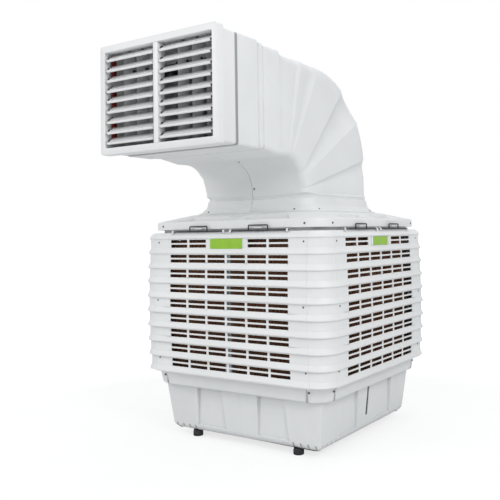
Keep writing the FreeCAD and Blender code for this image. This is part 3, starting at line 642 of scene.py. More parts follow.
def cornerPost():
    # the courses turned through a quarter circle at +X, -Y
    rows = casingRows()
    pivot = casing["seam"]
    turns = [math.radians(90 * step / casing["cornerSteps"]) for step in range(casing["cornerSteps"] + 1)]
    points = []
    for z, half in rows:
        reach = half - pivot
        end = max(reach - casing["postReturn"], flangeHalf - pivot)
        for radius, turn in zip([end, *[reach] * len(turns), end], [turns[0], *turns, turns[-1]]):
            points.append((pivot + radius * math.sin(turn), -pivot - radius * math.cos(turn), z))
    count = len(turns) + 2
    faces = []
    for i in range(len(rows) - 1):
        # the side flanges stop short of the top and bottom rows
        first, last = (1, count - 2) if i in (0, len(rows) - 2) else (0, count - 1)
        faces += [gridQuad(i, j, count) for j in range(first, last)]
    post = Stock()
    post.add(points, faces)
    post.thickened(casing["postWall"], (pivot, -pivot, casing["top"] / 2))
    outer = casing["columnOuter"]
    inner = outer - casing["columnSize"]
    post.block((inner, -outer, casing["columnLow"]), (outer, -inner, casing["columnTop"]), 3.0)
    reach = pivot + (surfaceHalf(casingBottom) - pivot - 2) * math.sqrt(0.5)
    for z in (casingBottom + 1, casingMiddle, casing["tieTop"]):
        post.block((pivot + 2, -reach, z), (reach, -pivot - 2, z + casing["tie"]), 1.0)
    return post


frontPanel = louvredPanel()
frontPanel.join(latchLugs())
frontPanel.onPanels("louvred_panel_", finishes["white"], "white_plastic", whole=True, edge=0.7, segments=1)
cornerPost().fourfold().piece("corner_posts_moulded", "root", finishes["white"], "white_plastic", ["corner_posts"],
                              edge=0.5, segments=1)

strap = {"half": 16.0, "front": -530.0, "back": -527.0, "low": 346.0, "high": 1006.0, "rib": 4.0, "ribDeep": 7.0}
strapForm = Stock()
strapForm.block((-strap["half"], strap["front"], strap["low"]), (strap["half"], strap["back"], strap["high"]))
for x in (-strap["half"], strap["half"] - strap["rib"]):
    strapForm.block((x, strap["back"] - 1, strap["low"]),
                    (x + strap["rib"], strap["back"] + strap["ribDeep"], strap["high"]), 0.8)
strapForm.onPanels("pad_strap_", finishes["strap"], "grey_plastic", sideNames[::2])
print("casing made")


def latchWire(hand):
    base, rise = latch["z"], latch["z"] + latch["rise"]
    near, far = latch["loopNear"], latch["loopFar"]
    rod = [(latch["near"], base), (latch["far"], base)]
    loop = filleted([(near, base), (near, rise), (far, rise), (far, base)], [0, latch["bend"], latch["bend"], 0], 5)
    wires = Stock()
    for path in (rod, loop):
        wires.wire([(hand * x, -latch["y"], z) for x, z in path], latch["wire"])
    return wires


for quarter, side in enumerate(sideNames):
    for end, hand in (("a", -1), ("b", 1)):
        name = "latch_" + side + "_" + end
        latchWire(hand).moved(quarterTurn(quarter)).piece(
            "wire_" + name, name, finishes["wire"], "black_wire", [name], sharp=50)
print("latches made")


# Tank and feet

tank = {
    "bottomHalf": 430.0, "topHalf": 457.0, "bottom": 30.0, "top": 262.0, "bottomRound": 30.0,
    "corner": 4.0, "wall": 5.0, "rimLow": 497.0, "rimHigh": 508.0, "rimCorner": 95.0,
    "rimTop": 333.4, "rimWall": 6.0, "bayCentre": 182.0, "bayTopHalf": 76.0,
    "bayLowHalf": 88.0, "bayLow": 62.0, "bayHigh": 250.0, "bayDepth": 17.0, "bayDraft": 2.5,
    "notches": 4, "notchFirst": 14.0, "notchPitch": 40.0, "notchHalf": 5.0, "notchDepth": 8.0,
    "notchLow": 37.0, "notchHigh": 60.0, "windowHalf": 10.0, "windowLow": 104.0, "windowHigh": 250.0,
    "windowDepth": 3.0, "windowDraft": 0.5,
}


def tankHalf(z):
    share = (z - tank["bottom"]) / (tank["top"] - tank["bottom"])
    return tank["bottomHalf"] + (tank["topHalf"] - tank["bottomHalf"]) * share


def wallHalf(z):
    # the tapered wall, drawn in round at the floor
    rounding = tank["bottomRound"]
    rise = z - tank["bottom"]
    half = tankHalf(z)
    if rise < rounding:
        half -= rounding - math.sqrt(rounding ** 2 - (rounding - rise) ** 2)
    return half


def recess(middle, half, floorHalf, kind):
    # (x, what the wall does there) at the edges of a recess and of its floor
    return [(middle - half, "wall"), (middle - floorHalf, kind), (middle + floorHalf, kind), (middle + half, "wall")]


def tankColumns(z):
    # the recesses across one side; the same count of points at every height
    share = min(max((z - tank["bayLow"]) / (tank["bayHigh"] - tank["bayLow"]), 0), 1)
    reach = tank["bayLowHalf"] + (tank["bayTopHalf"] - tank["bayLowHalf"]) * share
    edge = tank["bottomHalf"] - tank["bottomRound"] * 0.2 - tank["notchFirst"]
    marks = recess(0, tank["windowHalf"], tank["windowHalf"] - tank["windowDraft"], "window")
    for side in (-1, 1):
        marks += recess(side * tank["bayCentre"], reach, reach - tank["bayDraft"], "bay")
        for number in range(tank["notches"]):
            x = side * (edge - number * tank["notchPitch"])
            marks += recess(x, tank["notchHalf"], tank["notchHalf"] / 2, "notch")
    return sorted(marks)


def tankRing(half, corner, z, outside=True, sunk=True):
    low, high = tank["bayLow"], tank["bayHigh"]

    def depth(kind, quarter):
        if kind == "bay" and low + 4 <= z <= high - 4:
            sink = tank["bayDepth"] * (0.4 + 0.6 * (z - low) / (high - low))
            return half - (tankHalf(z) - sink - (0 if outside else tank["wall"]))
        if outside and kind == "notch" and tank["notchLow"] <= z <= tank["notchHigh"] - 6:
            return tank["notchDepth"]
        if outside and kind == "window" and quarter == 1 and (
                tank["windowLow"] + tank["windowDraft"] <= z <= tank["windowHigh"] - tank["windowDraft"]):
            return tank["windowDepth"]
        return 0

    def side(quarter):
        bend = arcPoints((half - corner, corner - half), corner, -90, 90, 4)
        return [(x, -half + (depth(kind, quarter) if sunk else 0), z) for x, kind in tankColumns(z)] + [
            (x, y, z) for x, y in bend]

    return fourSides(side)


def tankForm():
    corner = tank["corner"]
    rings = [tankRing(wallHalf(30.02) - 6, corner, 30)]
    for z in (31.5, 34, 37, 42, 48, 54, 60, 62, 66, 70, 85, 104, 104.5, 130, 160, 200, 230, 246, 249.5, 250):
        rings.append(tankRing(wallHalf(z), corner, z))
    # cove under the rim, its round shoulder, then over its top and down into the gutter
    shoulder = filleted([(tankHalf(250), 250), (tankHalf(262), 262), (tank["rimLow"], 262.5), (499.0, 276),
                         (tank["rimHigh"], tank["rimTop"]), (tank["rimHigh"] - tank["rimWall"], tank["rimTop"]),
                         (tank["rimLow"] - tank["rimWall"], 270.3), (tankHalf(262) - tank["wall"], 270),
                         (tankHalf(250) - tank["wall"], 250)], [0, 9, 16, 0, 1.5, 1.5, 3, 1.5, 0], 4)
    for half, z in shoulder[1:]:
        share = min(max((half - 452) / (tank["rimLow"] - 452), 0), 1)
        rings.append(tankRing(half, corner + (tank["rimCorner"] - corner) * share, z, sunk=False))
    for z in (246, 200, 104, 78, 66, 62):
        rings.append(tankRing(wallHalf(z) - tank["wall"], corner, z, outside=False))
    for z, inset in ((46, 16), (38, 34)):
        rings.append(tankRing(tankHalf(z) - inset, corner, z, outside=False, sunk=False))
    form = Stock()
    form.loft(rings)
    return form


tankForm().piece("water_tank", "root", finishes["tank"], "tank_plastic", ["tank"], edge=1.0, sharp=30, segments=2)
window = Stock()
window.loft([[(tankHalf(z) - depth, side * (tank["windowHalf"] - 0.8), z)
              for side, depth in ((-1, 2.7), (-1, 1.6), (1, 1.6), (1, 2.7))]
             for z in (tank["windowLow"] + 1, tank["windowHigh"] - 1)])
window.piece("level_window", "root", finishes["window"], "black_plastic", edge=0.5, segments=1)

foot = {"x": 300.0, "y": 402.0,
        "profile": [(17, 2.5), (21, 0.0), (23.4, 0.3), (24.6, 2.2), (24.8, 6), (23.2, 7), (23.2, 8.6), (24.8, 9.6),
                    (24.9, 20), (22.6, 22.5), (22.6, 29.8)]}
feet = Stock()
for sideX in (-1, 1):
    for sideY in (-1, 1):
        feet.turned(foot["profile"], (sideX * foot["x"], sideY * foot["y"]), 40)
feet.piece("rubber_feet", "root", finishes["rubber"], "black_rubber", ["feet"], sharp=40)
print("tank and feet made")


# Top cover

cover = {
    "half": 512.0, "slopeStart": (506.0, 1070.0), "slopeEnd": (384.0, 1105.0), "corner": 95.0, "bore": 318.0,
    "bayOuter": (336.0, -90.0), "bayInner": (34.0, 20.0), "bayStart": 0.05, "bayEnd": 0.62, "bayDeep": 13.0,
    "bayDraft": 4.0, "catchX": 178.0, "catchHalf": 20.0, "catchOut": 529.0, "catchLow": 1030.2, "catchHigh": 1036.0,
}


def bayMarks(t):
    # (x, 1 on the bay's floor) across one side, at the share t of the way up the slope
    t = min(max(t, cover["bayStart"]), cover["bayEnd"])
    outer = cover["bayOuter"][0] + cover["bayOuter"][1] * (t - cover["bayStart"])
    inner = cover["bayInner"][0] + cover["bayInner"][1] * t
    draft = cover["bayDraft"]
    right = [(inner, 0), (inner + draft, 1), (outer - draft, 1), (outer, 0)]
    return [(-x, deep) for x, deep in right[::-1]] + right


def coverRing(half, corner, z, t=0.0, deep=0.0):
    squeeze = min(1.0, (half - corner - 3) / (cover["bayOuter"][0] + 2))
    bays = [(x * squeeze, -half, z - floor * deep) for x, floor in bayMarks(t)]
    bend = arcPoints((half - corner, corner - half), corner, -90, 90, 8)
    return fourSides(lambda quarter: bays + [(x, y, z) for x, y in bend])


def boreRing(radius, z):
    square = coverRing(cover["slopeEnd"][0], cover["corner"], 0, 1.0)
    return [point.normalized() * radius + Vector((0, 0, z)) for point in square]


def topCover():
    corner = cover["corner"]
    start, end = cover["slopeStart"], cover["slopeEnd"]
    rings = [coverRing(half, corner, z) for half, z in ((511.2, 1030), (512, 1031), (512, 1062), (511.4, 1065.5),
                                                         (509.3, 1068.6))]
    for t, deep in ((0, 0), (0.03, 0), (0.055, 1), (0.30, 1), (0.59, 1), (0.62, 0), (0.8, 0), (0.98, 0)):
        half = start[0] + (end[0] - start[0]) * t
        rings.append(coverRing(half, corner, start[1] + (end[1] - start[1]) * t, t, deep * cover["bayDeep"]))
    rings.append(coverRing(378, corner, end[1], 1.0))
    for over, z in ((1.2, 1105), (0, 1104), (0, 1102), (0.8, 1101.2)):
        rings.append(boreRing(cover["bore"] + over, z))
    for half, z in ((375, 1101), (400, 1085), (500, 1056), (506, 1051), (508, 1046), (508, 1034)):
        rings.append(coverRing(half, corner - 4, z, 0.5))
    rings += [coverRing(430, 20, 1034), coverRing(430, 20, 1030)]
    for half, z in ((484, 1030), (484, 1000.6), (484.6, 1000), (487.4, 1000), (488, 1000.6), (488, 1030)):
        rings.append(coverRing(half, corner - 2, z))
    rings.append(rings[0])
    body = Stock()
    body.loft(rings, capped=False)
    catches = Stock()
    for side in (-1, 1):
        middle = side * cover["catchX"]
        catches.block((middle - cover["catchHalf"], -cover["catchOut"], cover["catchLow"]),
                      (middle + cover["catchHalf"], -cover["half"] + 0.5, cover["catchHigh"]), 1.2)
    body.join(catches.fourfold())
    return body


topCover().piece("moulded_cover", "root", finishes["white"], "white_plastic", ["top_cover"], sharp=28)
print("cover made")


# Elbow duct

duct = {"half": 320.0, "front": -852.0, "low": 1365.0, "high": 1834.0, "throat": (-470.0, 1205.0, 147.0),
        "back": (-200.0, 1310.0, 515.0), "neck": 322.0, "flange": 363.0, "corner": 84.0,
        "wall": 5.0, "seam": 0.4, "groove": 2.2, "between": 4, "firstTop": -352.0,
        # pleats: angle on the throat and on the back, how far the side stands in, corner radius,
        # how far the back stands in, and depth and skew of the trough that follows
        "pleats": [(90, None, -1, 44, 6, 13, 1.9), (80, 90, -5, 52, 9, 0, 1), (38, 61, -6, 60, 3, 40, 0.85),
                   (27, 35, -6, 68, 0, 0, 1), (6, 11, -5, 76, 0, 24, 0.75), (2, 0, 6, 80, 0, 0, 1)]}


def onArc(arc, degrees):
    turn = math.radians(degrees)
    return (arc[0] + arc[2] * math.cos(turn), arc[1] + arc[2] * math.sin(turn))


def bendStations():
    # the pleats, and the sections between them that keep the throat and the back round
    throat, back = duct["throat"], duct["back"]
    pleats = duct["pleats"]
    stations = []
    for first, second in zip(pleats, pleats[1:]):
        for step in range(duct["between"] + 1):
            t = step / (duct["between"] + 1)
            under, backAngle, standIn, corner, drop = [
                None if a is None else a + (b - a) * t for a, b in zip(first[:5], second)]
            standIn += first[5] * math.sin(math.pi * t ** first[6])
            arc = (back[0], back[1], back[2] - drop)
            if backAngle is None:
                top = (duct["firstTop"] + (back[0] - duct["firstTop"]) * t, onArc(arc, 90)[1])
            else:
                top = onArc(arc, backAngle)
            stations.append((onArc(throat, under), top, standIn, corner, 0 if step else 1.5, 1))
    under, backAngle, standIn, corner = pleats[-1][:4]
    return stations + [(onArc(throat, under), onArc(back, backAngle), standIn, corner, 0, 1)]


def ductStations():
    # sections along the elbow: low point, high point, how far the side stands in, corner radius,
    # rounding, and 1 where the stand-in fades towards the corners
    low, high, front = duct["low"], duct["high"], duct["front"]
    neck = duct["neck"]
    under, over = onArc(duct["throat"], 90)[1], onArc(duct["back"], 90)[1]
    stations = [
        ((front, low), (front, high), 8, 9, 0, 0), ((-842.6, low), (-842.6, high), 8, 9, 0, 0),
        ((-842.3, low), (-842.3, high), 0.8, 11, 0, 0), ((-841, low), (-841, high), 0, 12, 1, 0),
        ((-706, low), (-706, high), 0, 12, 1.5, 0), ((-697, low), (-697, high - 3), 11, 15, 1, 0),
        ((-691, low), (-691, high - 3), 11, 15, 0.5, 0), ((-686, low), (-686, high - 1), 4, 15, 1.5, 0),
        ((-664, low), (-664, high - 1), 4, 15, 1.5, 0), ((-658, low), (-658, high - 3), 12, 15, 1, 0),
        ((-652, low), (-652, high - 3), 12, 16, 1, 0), ((-647, low - 2), (-647, high - 4), 6, 18, 1.5, 0),
        ((-538, under - 2), (-538, over + 4), 1, 28, 2, 0), ((-527, under), (-526, over - 3), 13, 32, 2, 1),
        ((-508, under), (-494, over - 8), 14, 36, 3, 1), ((-492, under), (-450, over - 9), 9, 40, 6, 1),
        ((-476, under), (-378, over - 8), 9, 44, 2, 1),
        *bendStations(), ((-neck, 1196), (neck, 1204), 8, duct["corner"], 1, 1),
    ]
    for z, half, soft in ((1190, neck + 1, 2), (1185, neck - 2, 2), (1177, neck - 2, 2), (1171, neck + 4, 2),
                          (1140, neck + 9, 12), (1116, neck + 28, 8), (1109, duct["flange"], 2),
                          (1106, duct["flange"], 1), (1105, duct["flange"] - 1, 0)):
        stations.append(((-half, z), (half, z), duct["half"] - half, duct["corner"], soft, 0))
    return stations


def halfSection(station, inset):
    # right half of a section, from the seam over the top and side to the seam below
    (lowY, lowZ), (highY, highZ), standIn, corner, soft, fades = station
    low, high = Vector((0, lowY, lowZ)), Vector((0, highY, highZ))
    across = (high - low).normalized()
    middle = (low + high) / 2
    trim = max(standIn, 0) if abs(across.y) < 0.999 and not fades else 0
    side = duct["half"] - inset
    wide = side - standIn
    reach = (high - low).length / 2 - trim - inset
    corner = max(corner - inset, 2)
    dip = 0 if inset else duct["groove"]
    points = []
    for hand, share, tight in ((1, 0.45, 1), (-1, 0.1, 0.6)) if fades else ((1, 1, 1), (-1, 1, 1)):
        shoulder = side - standIn * share
        bend = corner * tight
        straight = reach - bend
        flat = [(duct["seam"], reach - dip), (duct["seam"] + duct["groove"], reach),
                *arcPoints((shoulder - bend, straight), bend, 90, -90, 6)]
        if fades:
            flat += [(side - standIn * (0.565 + 0.435 * hand * part), straight * part) for part in (0.86, 0.62, 0.2)]
        else:
            flat += [((shoulder + 2 * wide) / 3, straight * 0.96), (wide, straight * 0.88), (wide, straight * 0.4)]
        points += flat if hand == 1 else [(x, -up) for x, up in flat[::-1]]
    return [middle + Vector((x, 0, 0)) + across * up for x, up in points]


def ductHalf():
    stations = ductStations()
    rounds = [station[4] for station in stations]
    walls = []
    for inset in (0, duct["wall"]):
        lines = zip(*[halfSection(station, inset) for station in stations])
        walls.append(list(zip(*[filleted([tuple(point) for point in line], rounds, 4) for line in lines])))
    outer, inner = walls
    rings = [list(a) + list(b)[::-1] for a, b in zip(outer, inner)]
    shell = Stock()
    shell.loft(rings, capped=False)
    count = len(outer[0])
    last = (len(rings) - 1) * 2 * count
    for first in (0, last):
        shell.faces += [[first + i, first + i + 1, first + 2 * count - 2 - i, first + 2 * count - 1 - i]
                        for i in range(count - 1)]
    return shell


mirror = Matrix.Scale(-1, 4, (1, 0, 0))
rightHalf = ductHalf()
for side, shell in (("right", rightHalf), ("left", rightHalf.moved(mirror))):
    shell.piece("moulded_duct_" + side, "root", finishes["duct"], "white_plastic", ["duct_" + side + "_half"],
                sharp=38)
print("duct made")


# Outlet housing

outlet = {"low": 1389.0, "high": 1811.0, "front": -989.0, "mullionHalf": 13.0, "mullionBack": -945.0}


def hoop(*rows):
    # a moulding round the outlet, through (half width, low, high, corner radius, y) and closed on itself
    rings = [uprightRing(*row) for row in rows]
    moulding = Stock()
    moulding.loft(rings + rings[:1], capped=False)
    return moulding


housing = hoop(
    (330.6, 1361.4, 1838.6, 12, -989), (332.3, 1359.7, 1840.3, 13.4, -988.2), (333, 1359, 1841, 14, -986.4),
    (333, 1359, 1841, 14, -949.4), (332, 1360, 1840, 13, -948), (324, 1366, 1834, 12, -948),
    (322, 1368, 1832, 12, -946), (322, 1368, 1832, 12, -864), (320.6, 1369.4, 1830.6, 11, -862),
    (314.7, 1370.3, 1828.7, 8, -862), (314.7, 1370.3, 1828.7, 8, -801.5), (313.4, 1371.6, 1827.4, 7, -800),
    (310.7, 1374.3, 1824.7, 3, -800), (310.7, 1374.3, 1824.7, 3, -948), (305, 1389, 1811, 4, -948),
    (305, 1389, 1811, 4, -987.4), (306.6, 1387.4, 1812.6, 5, -989))
housing.block((-outlet["mullionHalf"], outlet["front"] + 0.4, outlet["low"] - 1),
              (outlet["mullionHalf"], outlet["mullionBack"], outlet["high"] + 1), 2.0)
housing.piece("moulded_housing", "root", finishes["outlet"], "outlet_plastic", ["outlet_housing"], sharp=34)
# a dark grey ring in the groove between the housing and the duct: painted shade of the shadowed gap
grooveShadeRing = hoop((317.5, 1367.5, 1831.5, 10, -861.7), (317.5, 1367.5, 1831.5, 10, -842.9),
              (314.5, 1370.7, 1828.3, 8, -842.9), (314.5, 1370.7, 1828.3, 8, -861.7))
grooveShadeRing.piece("outlet_gasket", "root", finishes["grey"], "grey_plastic", edge=0.5, segments=1)


# Outlet blades, their caps and links

blade = {
    "y": -966.0, "top": 1788.4, "pitch": 45.6, "rows": 9, "tilt": 38.0, "start": -295.5, "end": -19.0,
    "jamb": -304.7, "mullion": -13.3, "peg": 4.0, "cap": 6.5, "collar": 6.0, "crank": 19.0, "pin": 2.5,
    "pinStart": -302.0, "linkX": (-301.0, -296.5), "linkHalf": 5.0, "linkDeep": 24.0, "aLink": 3,
    "profile": [(-22.8, -6.0), (-24, -5.9), (-25.0, -4.2), (-25.5, -1), (-25.2, 2.4), (-24, 4.4), (-22.2, 4.5),
                (-17, 3.0), (-10, 1.9), (0, 1.55), (23.2, 1.25), (24, 0.6), (24, -0.6), (23.2, -1.2), (4, -1.7),
                (-8, -2.1), (-12, -2.5), (-17, -3.5), (-21, -5.2)],
}


def bladeHeight(row):
    return blade["top"] - blade["pitch"] * row


def bladePlace(row, side):
    tilt = Matrix.Rotation(math.radians(blade["tilt"]), 4, "X")
    place = Matrix.Translation((0, blade["y"], bladeHeight(row))) @ tilt
    return mirror @ place if side == "right" else place


slat = Stock()
slat.bar(blade["profile"], blade["start"], blade["end"])
slat.pin((blade["jamb"], 0, 0), (blade["start"] + 2, 0, 0), blade["peg"], 16)
slat.pin((blade["pinStart"], blade["crank"], 0), (blade["start"] + 2, blade["crank"], 0), blade["pin"], 12, 0.4)
capsAndEndShade = Stock()
capsAndEndShade.pin((blade["end"] - 2, 0, 0), (blade["mullion"], 0, 0), blade["cap"], 20, 0.8)
capsAndEndShade.pin((blade["jamb"], 0, 0), (blade["start"] + 1, 0, 0), blade["collar"], 20, 0.8)
# a thin black slice over the blade's end at the jamb: painted shade where that end edge lies in shadow
capsAndEndShade.bar([(y * 0.96, z * 0.96) for y, z in blade["profile"]], blade["start"] - 0.8, blade["start"] + 0.3)
for side in ("left", "right"):
    for row in range(blade["rows"]):
        label = side + "_" + str(row + 1)
        place = bladePlace(row, side)
        slat.moved(place).piece("slat_" + label, "blade_" + label, finishes["blade"], "blade_plastic",
                                ["blade_" + label], sharp=40)
        capsAndEndShade.moved(place).piece("slat_caps_" + label, "blade_" + label, finishes["black"], "black_plastic", sharp=40)


def bladeLink(rows):
    # flat plate with a round knuckle on each crank pin
    turn = math.radians(blade["tilt"])
    y = blade["y"] + blade["crank"] * math.cos(turn)
    rise = blade["crank"] * math.sin(turn)
    heights = [bladeHeight(row) + rise for row in rows]
    half = blade["linkHalf"]
    low, high, back = min(heights), max(heights), y + blade["linkDeep"]
    outline = [*arcPoints((y, high), half, 90, 90, 4), *arcPoints((y, low), half, 180, 90, 4),
               (back - 3, low - half), (back, low - half + 3), (back, high + half - 9), (back - 9, high + half)]
    link = Stock()
    link.bar(outline, *blade["linkX"])
    for z in heights:
        link.pin((blade["linkX"][0] - 0.8, y, z), (blade["linkX"][1] + 0.2, y, z), half - 0.6, 18, 0.5)
    return link


for side in ("left", "right"):
    for group in range(blade["rows"] // blade["aLink"]):
        link = bladeLink(range(group * blade["aLink"], (group + 1) * blade["aLink"]))
        name = "blade_link_" + side + "_" + str(group + 1)
        link.moved(mirror if side == "right" else None).piece(
            "red_" + name, name, finishes["red"], "red_plastic", [name], edge=0.5, sharp=50, segments=1)
print("blades made")


# Upright vanes and what swings them

vane = {"x": (-237.0, -159.0, -81.0, 81.0, 159.0, 237.0), "y": -903.0, "half": 35.0, "thick": 1.5, "low": 1384.0,
        "high": 1816.0, "floor": 1374.6, "ceiling": 1824.4, "peg": 4.5, "arm": 25.0, "pin": 2.5, "tie": 1735.0,
        "notch": 13.0, "bush": 7.0}


def vanePlate(x):
    half, thick, y = vane["half"], vane["thick"], vane["y"]
    cut = vane["arm"] - 11

    def level(z, back):
        edge, waist = min(half - 10, back), min(half - 3, back)
        outline = [(-thick, 5 - half), (-thick * 0.7, 2 - half), (0, -half), (thick * 0.7, 2 - half),
                   (thick, 5 - half), (thick, edge), (thick * 0.5, waist), (0, min(half, back)),
                   (-thick * 0.5, waist), (-thick, edge)]
        return [(x + across, y + chord, z) for across, chord in outline]

    low, high = vane["tie"] - vane["notch"], vane["tie"] + vane["notch"]
    plate = Stock()
    plate.loft([level(vane["low"], half), level(low - 2, half), level(low, half - 2), level(low, cut + 1.5),
                level(low + 1.5, cut), level(high - 1.5, cut), level(high, cut + 1.5), level(high, half - 2),
                level(high + 2, half), level(vane["high"], half)])
    armY = y + vane["arm"]
    plate.pin((x, armY, low - 3), (x, armY, high + 3), vane["pin"], 14, 0.4)
    for start, end in ((vane["floor"], vane["low"] + 4), (vane["high"] - 4, vane["ceiling"])):
        plate.pin((x, y, start), (x, y, end), vane["peg"], 18)
    return plate


def vaneBushes(x):
    y = vane["y"]
    bush = vane["bush"]
    bushes = Stock()
    for low, high in ((vane["floor"], vane["low"] - 0.4), (vane["high"] + 0.4, vane["ceiling"])):
        step = (low + high) / 2
        bushes.turned([(bush - 0.8, low), (bush, low + 0.8), (bush, step), (bush - 1.4, step + 0.6),
                       (bush - 1.4, high - 0.6), (bush - 2, high)], (x, y), 24)
    return bushes


for number, x in enumerate(vane["x"]):
    name = "vane_" + str(number + 1)
    vanePlate(x).piece("upright_" + name, name, finishes["outlet"], "outlet_plastic", [name], sharp=36)
    vaneBushes(x).piece("bushes_" + name, name, finishes["black"], "black_plastic", sharp=40)

tie = {"end": 247.0, "half": 5.0, "halfThick": 4.5, "knob": [(5.4, 4), (6.4, 5.4), (6.4, 8), (5.2, 9.6)]}
swing = {"x": (0.0, 42.0), "y": (-939.0, -889.0), "z": (1662.0, 1720.5), "shaft": (22.0, -903.0), "split": 1706.0,
         "bracket": (0.5, 12.0), "bracketFront": -945.0, "screwX": (7.0, 35.0), "screwY": (-932.0, -896.0),
         "boss": [(12, 1719), (12, 1720.9), (11, 1721.6)], "shaftEnds": (1719.0, 1728.5), "shaftSize": 3.0,
         "screw": [(4.4, 1719.5), (4.4, 1721.0), (3.6, 1721.6), (1.6, 1721.6), (1.2, 1720.6)],
         "crankHalf": 5.0, "crankZ": (1722.6, 1727.4), "crankPin": (1724.0, 1740.5),
         "crankHub": [(6.4, 1722.5), (7, 1723.2), (7, 1728.6), (6.2, 1729.5)]}
shaftX, shaftY = swing["shaft"]
tieY = vane["y"] + vane["arm"]
tieBar = Stock()
tieBar.block((-tie["end"], tieY - tie["half"], vane["tie"] - tie["halfThick"]),
             (tie["end"], tieY + tie["half"], vane["tie"] + tie["halfThick"]), 1.0)
for x in (*vane["x"], shaftX):
    tieBar.turned([(radius, vane["tie"] + rise) for radius, rise in tie["knob"]], (x, tieY), 20)
tieBar.piece("tie_bar", "vane_tie_bar", finishes["black"], "black_plastic", ["vane_tie_bar"], sharp=40)

(near, far), (front, back), (low, high), split = swing["x"], swing["y"], swing["z"], swing["split"]
motor = Stock()
motor.block((near, front, low), (far, back, split), 3.0)
motor.block((near + 0.8, front + 0.8, split - 1), (far - 0.8, back - 0.8, split + 1.6), 2.4)
motor.block((near, front, split + 1.2), (far, back, high), 3.0)
motor.block((swing["bracket"][0], swing["bracketFront"], low + 4), (swing["bracket"][1], front + 1, high - 4), 1.5)
motor.turned(swing["boss"], swing["shaft"], 28)
motor.pin(*[(shaftX, shaftY, z) for z in swing["shaftEnds"]], swing["shaftSize"], 18)
for x in swing["screwX"]:
    for y in swing["screwY"]:
        motor.turned(swing["screw"], (x, y), 16)
motor.piece("swing_gear_motor", "root", finishes["black"], "black_plastic", ["swing_motor"], sharp=36)

crank = Stock()
crankOutline = [*arcPoints((shaftX, shaftY), swing["crankHalf"], 180, 180, 8),
                *arcPoints((shaftX, tieY), swing["crankHalf"], 0, 180, 8)]
crank.loft([[(x, y, z) for x, y in crankOutline] for z in swing["crankZ"]])
crank.turned(swing["crankHub"], swing["shaft"], 24)
crank.pin(*[(shaftX, tieY, z) for z in swing["crankPin"]], vane["pin"], 14, 0.4)
crank.piece("crank_arm", "swing_crank", finishes["black"], "black_plastic", ["swing_crank"], edge=0.4, sharp=50,
            segments=1)
print("vanes and swing gear made")


# Repeats by geometry nodes

class Grove(Bench):
    # a geometry tree that sets copies of one small object, with its named inputs
    def __init__(self, name, inputs):
        super().__init__(bpy.data.node_groups.new(name, "GeometryNodeTree"))
        for label, kind, start in inputs:
            made = self.tree.interface.new_socket(label, in_out="INPUT", socket_type=kind)
            if start is not None:
                made.default_value = start
        self.tree.interface.new_socket("Geometry", in_out="OUTPUT", socket_type="NodeSocketGeometry")
        self.source = self.tree.nodes.new("NodeGroupInput")

    def given(self, label):
        return Signal(self, self.source.outputs[label])

    def finish(self, instances):
        realized = self.node("GeometryNodeRealizeInstances", None, {"Geometry": instances})
        painted = self.node("GeometryNodeSetMaterial", None,
                            {"Geometry": realized, "Material": self.given("Material")})
        self.node("NodeGroupOutput", None, {0: painted})


def grown(grove, mesh, values):
    # the tree's result on a mesh, as the points and faces of a Stock
    host = placed("host", mesh)
    growth = host.modifiers.new("growth", "NODES")
    growth.node_group = grove.tree
    for item in grove.tree.interface.items_tree:
        if item.item_type == "SOCKET" and item.in_out == "INPUT" and item.name in values:
            growth[item.identifier] = values[item.name]
    settle(host, 30)
    stock = Stock()
    stock.take(host.data)
    bpy.data.objects.remove(host)
    return stock


def template(name, stock):
    mesh = bpy.data.meshes.new(name)
    mesh.from_pydata(stock.points, [], stock.faces)
    return bpy.data.objects.new(name, mesh)


def screwGrove():
    grove = Grove("screwRun", [("Geometry", "NodeSocketGeometry", None), ("Screw", "NodeSocketObject", None),
                               ("Size", "NodeSocketFloat", 1.0), ("Seed", "NodeSocketInt", 7),
                               ("Material", "NodeSocketMaterial", None)])
    outward = grove.node("GeometryNodeInputNamedAttribute", {"data_type": "FLOAT_VECTOR"}, {"Name": "outward"})
    aimed = grove.node("FunctionNodeAlignRotationToVector", {"axis": "Z"}, {"Vector": outward})
    turn = grove.node("FunctionNodeRandomValue", {"data_type": "FLOAT"},
                      {"Max": 3.14, "Seed": grove.given("Seed")}, 1)
    spin = grove.node("FunctionNodeAxisAngleToRotation", None, {"Axis": (0, 0, 1), "Angle": turn})
    both = grove.node("FunctionNodeRotateRotation", {"rotation_space": "LOCAL"},
                      {"Rotation": aimed, "Rotate By": spin})
    points = grove.node("GeometryNodeMeshToPoints", None, {"Mesh": grove.given("Geometry")})
    screw = grove.node("GeometryNodeObjectInfo", None, {"Object": grove.given("Screw")}, "Geometry")
    grove.finish(grove.node("GeometryNodeInstanceOnPoints", None, {
        "Points": points, "Instance": screw, "Rotation": both, "Scale": grove.given("Size")}))
    return grove


def screwHead():
    # pan head with a cross recess
    rim = arcPoints((0, 0), 1, 0, 360, 16)[:-1]
    rings = [[(x * radius, y * radius, z) for x, y in rim]
             for radius, z in ((5.0, -1.0), (5.0, 0.4), (4.6, 1.3), (3.6, 1.9), (2.9, 2.05))]
    for scale, z in ((1.0, 2.05), (0.75, 0.7)):
        reaches = [reach * scale for reach in (2.4, 1.1, 0.75, 1.1)] * 4
        rings.append([(x * reach, y * reach, z) for (x, y), reach in zip(rim, reaches)])
    head = Stock()
    head.loft(rings)
    return head


screws = {
    # x, half width there, z and outward direction of the pairs on every side
    "sides": [(421.0, 511.9, 1048.0, (0, -1, 0)), (262.0, 347.6, 1118.0, (0, -0.75, 0.66)),
              (424.0, 504.1, 308.0, (0, -1, 0.16))],
    "panelX": 429.0, "panelHeights": (968.0, 683.0, 398.0), "seamX": 13.0, "seamAngles": (80.0, 8.0),
}


